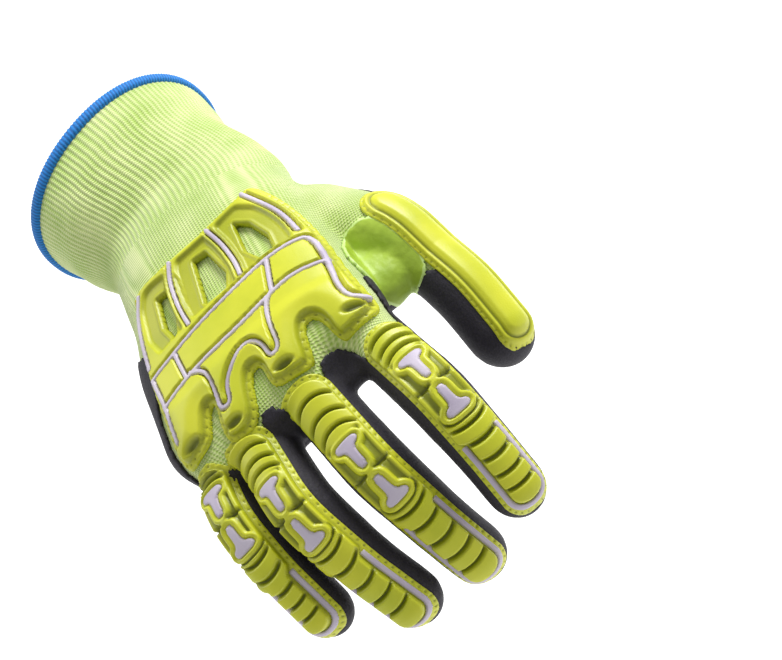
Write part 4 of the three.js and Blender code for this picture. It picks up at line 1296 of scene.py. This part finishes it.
def cuff_tube(name, rows, sides, ring_at):
    """An open tube: a grid whose first and last columns are welded."""
    bm = bmesh.new()
    bmesh.ops.create_grid(bm, x_segments=sides, y_segments=rows, size=0.5)
    flat = np.array([v.co.xy for v in bm.verts]) + 0.5
    column = np.rint(flat[:, 0] * sides).astype(int)
    row = np.rint(flat[:, 1] * rows).astype(int)
    rings = np.array([ring_at(r / rows) for r in range(rows + 1)])
    layers = [bm.verts.layers.float.new(key) for key in ("across_mm", "along_mm")]
    for vert, c, r in zip(bm.verts, column, row):
        vert.co = Vector(rings[r, c % sides]) * MM
        vert[layers[0]] = c / sides * RIBS * KNIT_PITCH
        vert[layers[1]] = r / rows * CUFF_LENGTH
    bmesh.ops.remove_doubles(bm, verts=bm.verts, dist=1e-6)
    bmesh.ops.recalc_face_normals(bm, faces=bm.faces)
    return piece(name, bm)


def ribbed_ring(along):
    """A ring of the cuff with its ribs, which start softly at the wrist, and a slight wave of the cloth."""
    turn = 2 * np.pi * np.arange(RIBS * RIB_SIDES) / (RIBS * RIB_SIDES)
    fade = 0.35 + 0.65 * float(smoothstep(along, 0.02, 0.2))
    waist = WAIST_WAVE * math.sin(along * 7) * float(smoothstep(along, 0.0, 0.1)) * np.sin(2 * turn + 1)
    relief = RIB_HEIGHT * fade * np.cos(RIBS * turn) + waist
    return cuff_ring(along, grow=-CUFF_INSET, sides=RIBS * RIB_SIDES, relief=relief)


cuff = cuff_tube("knit_cuff_ribbed", CUFF_ROWS, RIBS * RIB_SIDES, ribbed_ring)
give_wall(cuff, KNIT_WALL, -1)
finish_piece(cuff, "knit", knit, "knit_cuff")

# %% [markdown]
# The cuff's mouth is bound with an overlock stitch: a band of blue thread folded over the edge, each
# stitch a slanted ridge.

# %% Hem
HEM_STITCHES = 195
HEM_SIDES = 1170
HEM_SECTION = 14
HEM_HALF = (1.9, 2.1)
HEM_SLANT = 1.2
HEM_RIDGE = 0.11
HEM_GROW = (-4, 4)
HEM_BACK = 2.2

bm = bmesh.new()
bmesh.ops.create_grid(bm, x_segments=HEM_SIDES, y_segments=HEM_SECTION, size=0.5)
flat = np.array([v.co.xy for v in bm.verts]) + 0.5
column = np.rint(flat[:, 0] * HEM_SIDES).astype(int) % HEM_SIDES
turn = 2 * np.pi * np.rint(flat[:, 1] * HEM_SECTION) / HEM_SECTION
phase = HEM_STITCHES * 2 * np.pi * column / HEM_SIDES + HEM_SLANT * np.sin(turn)
ridge = HEM_RIDGE * np.sin(phase)
inner, outer = (cuff_ring(1, grow=grow, overrun=-HEM_BACK, sides=HEM_SIDES) for grow in HEM_GROW)
out_way = (outer - inner) / (HEM_GROW[1] - HEM_GROW[0])
middle = inner + out_way * (-KNIT_WALL / 2 - HEM_GROW[0])
past_way = cuff_ring(1, sides=HEM_SIDES) - cuff_ring(0.97, sides=HEM_SIDES)
past_way /= np.linalg.norm(past_way, axis=1)[:, None]
out = (HEM_HALF[0] + ridge) * power(np.cos(turn), 3)
past = (HEM_HALF[1] + ridge) * power(np.sin(turn), 3)
layer = bm.verts.layers.float.new("stitch")
points = middle[column] + out_way[column] * out[:, None] + past_way[column] * past[:, None]
for vert, point, number in zip(bm.verts, points, phase):
    vert.co = Vector(point) * MM
    vert[layer] = number
bmesh.ops.remove_doubles(bm, verts=bm.verts, dist=1e-6)
bmesh.ops.recalc_face_normals(bm, faces=bm.faces)
finish_piece(piece("cuff_hem_stitched", bm), "hem_thread", hem_thread, "cuff_hem")
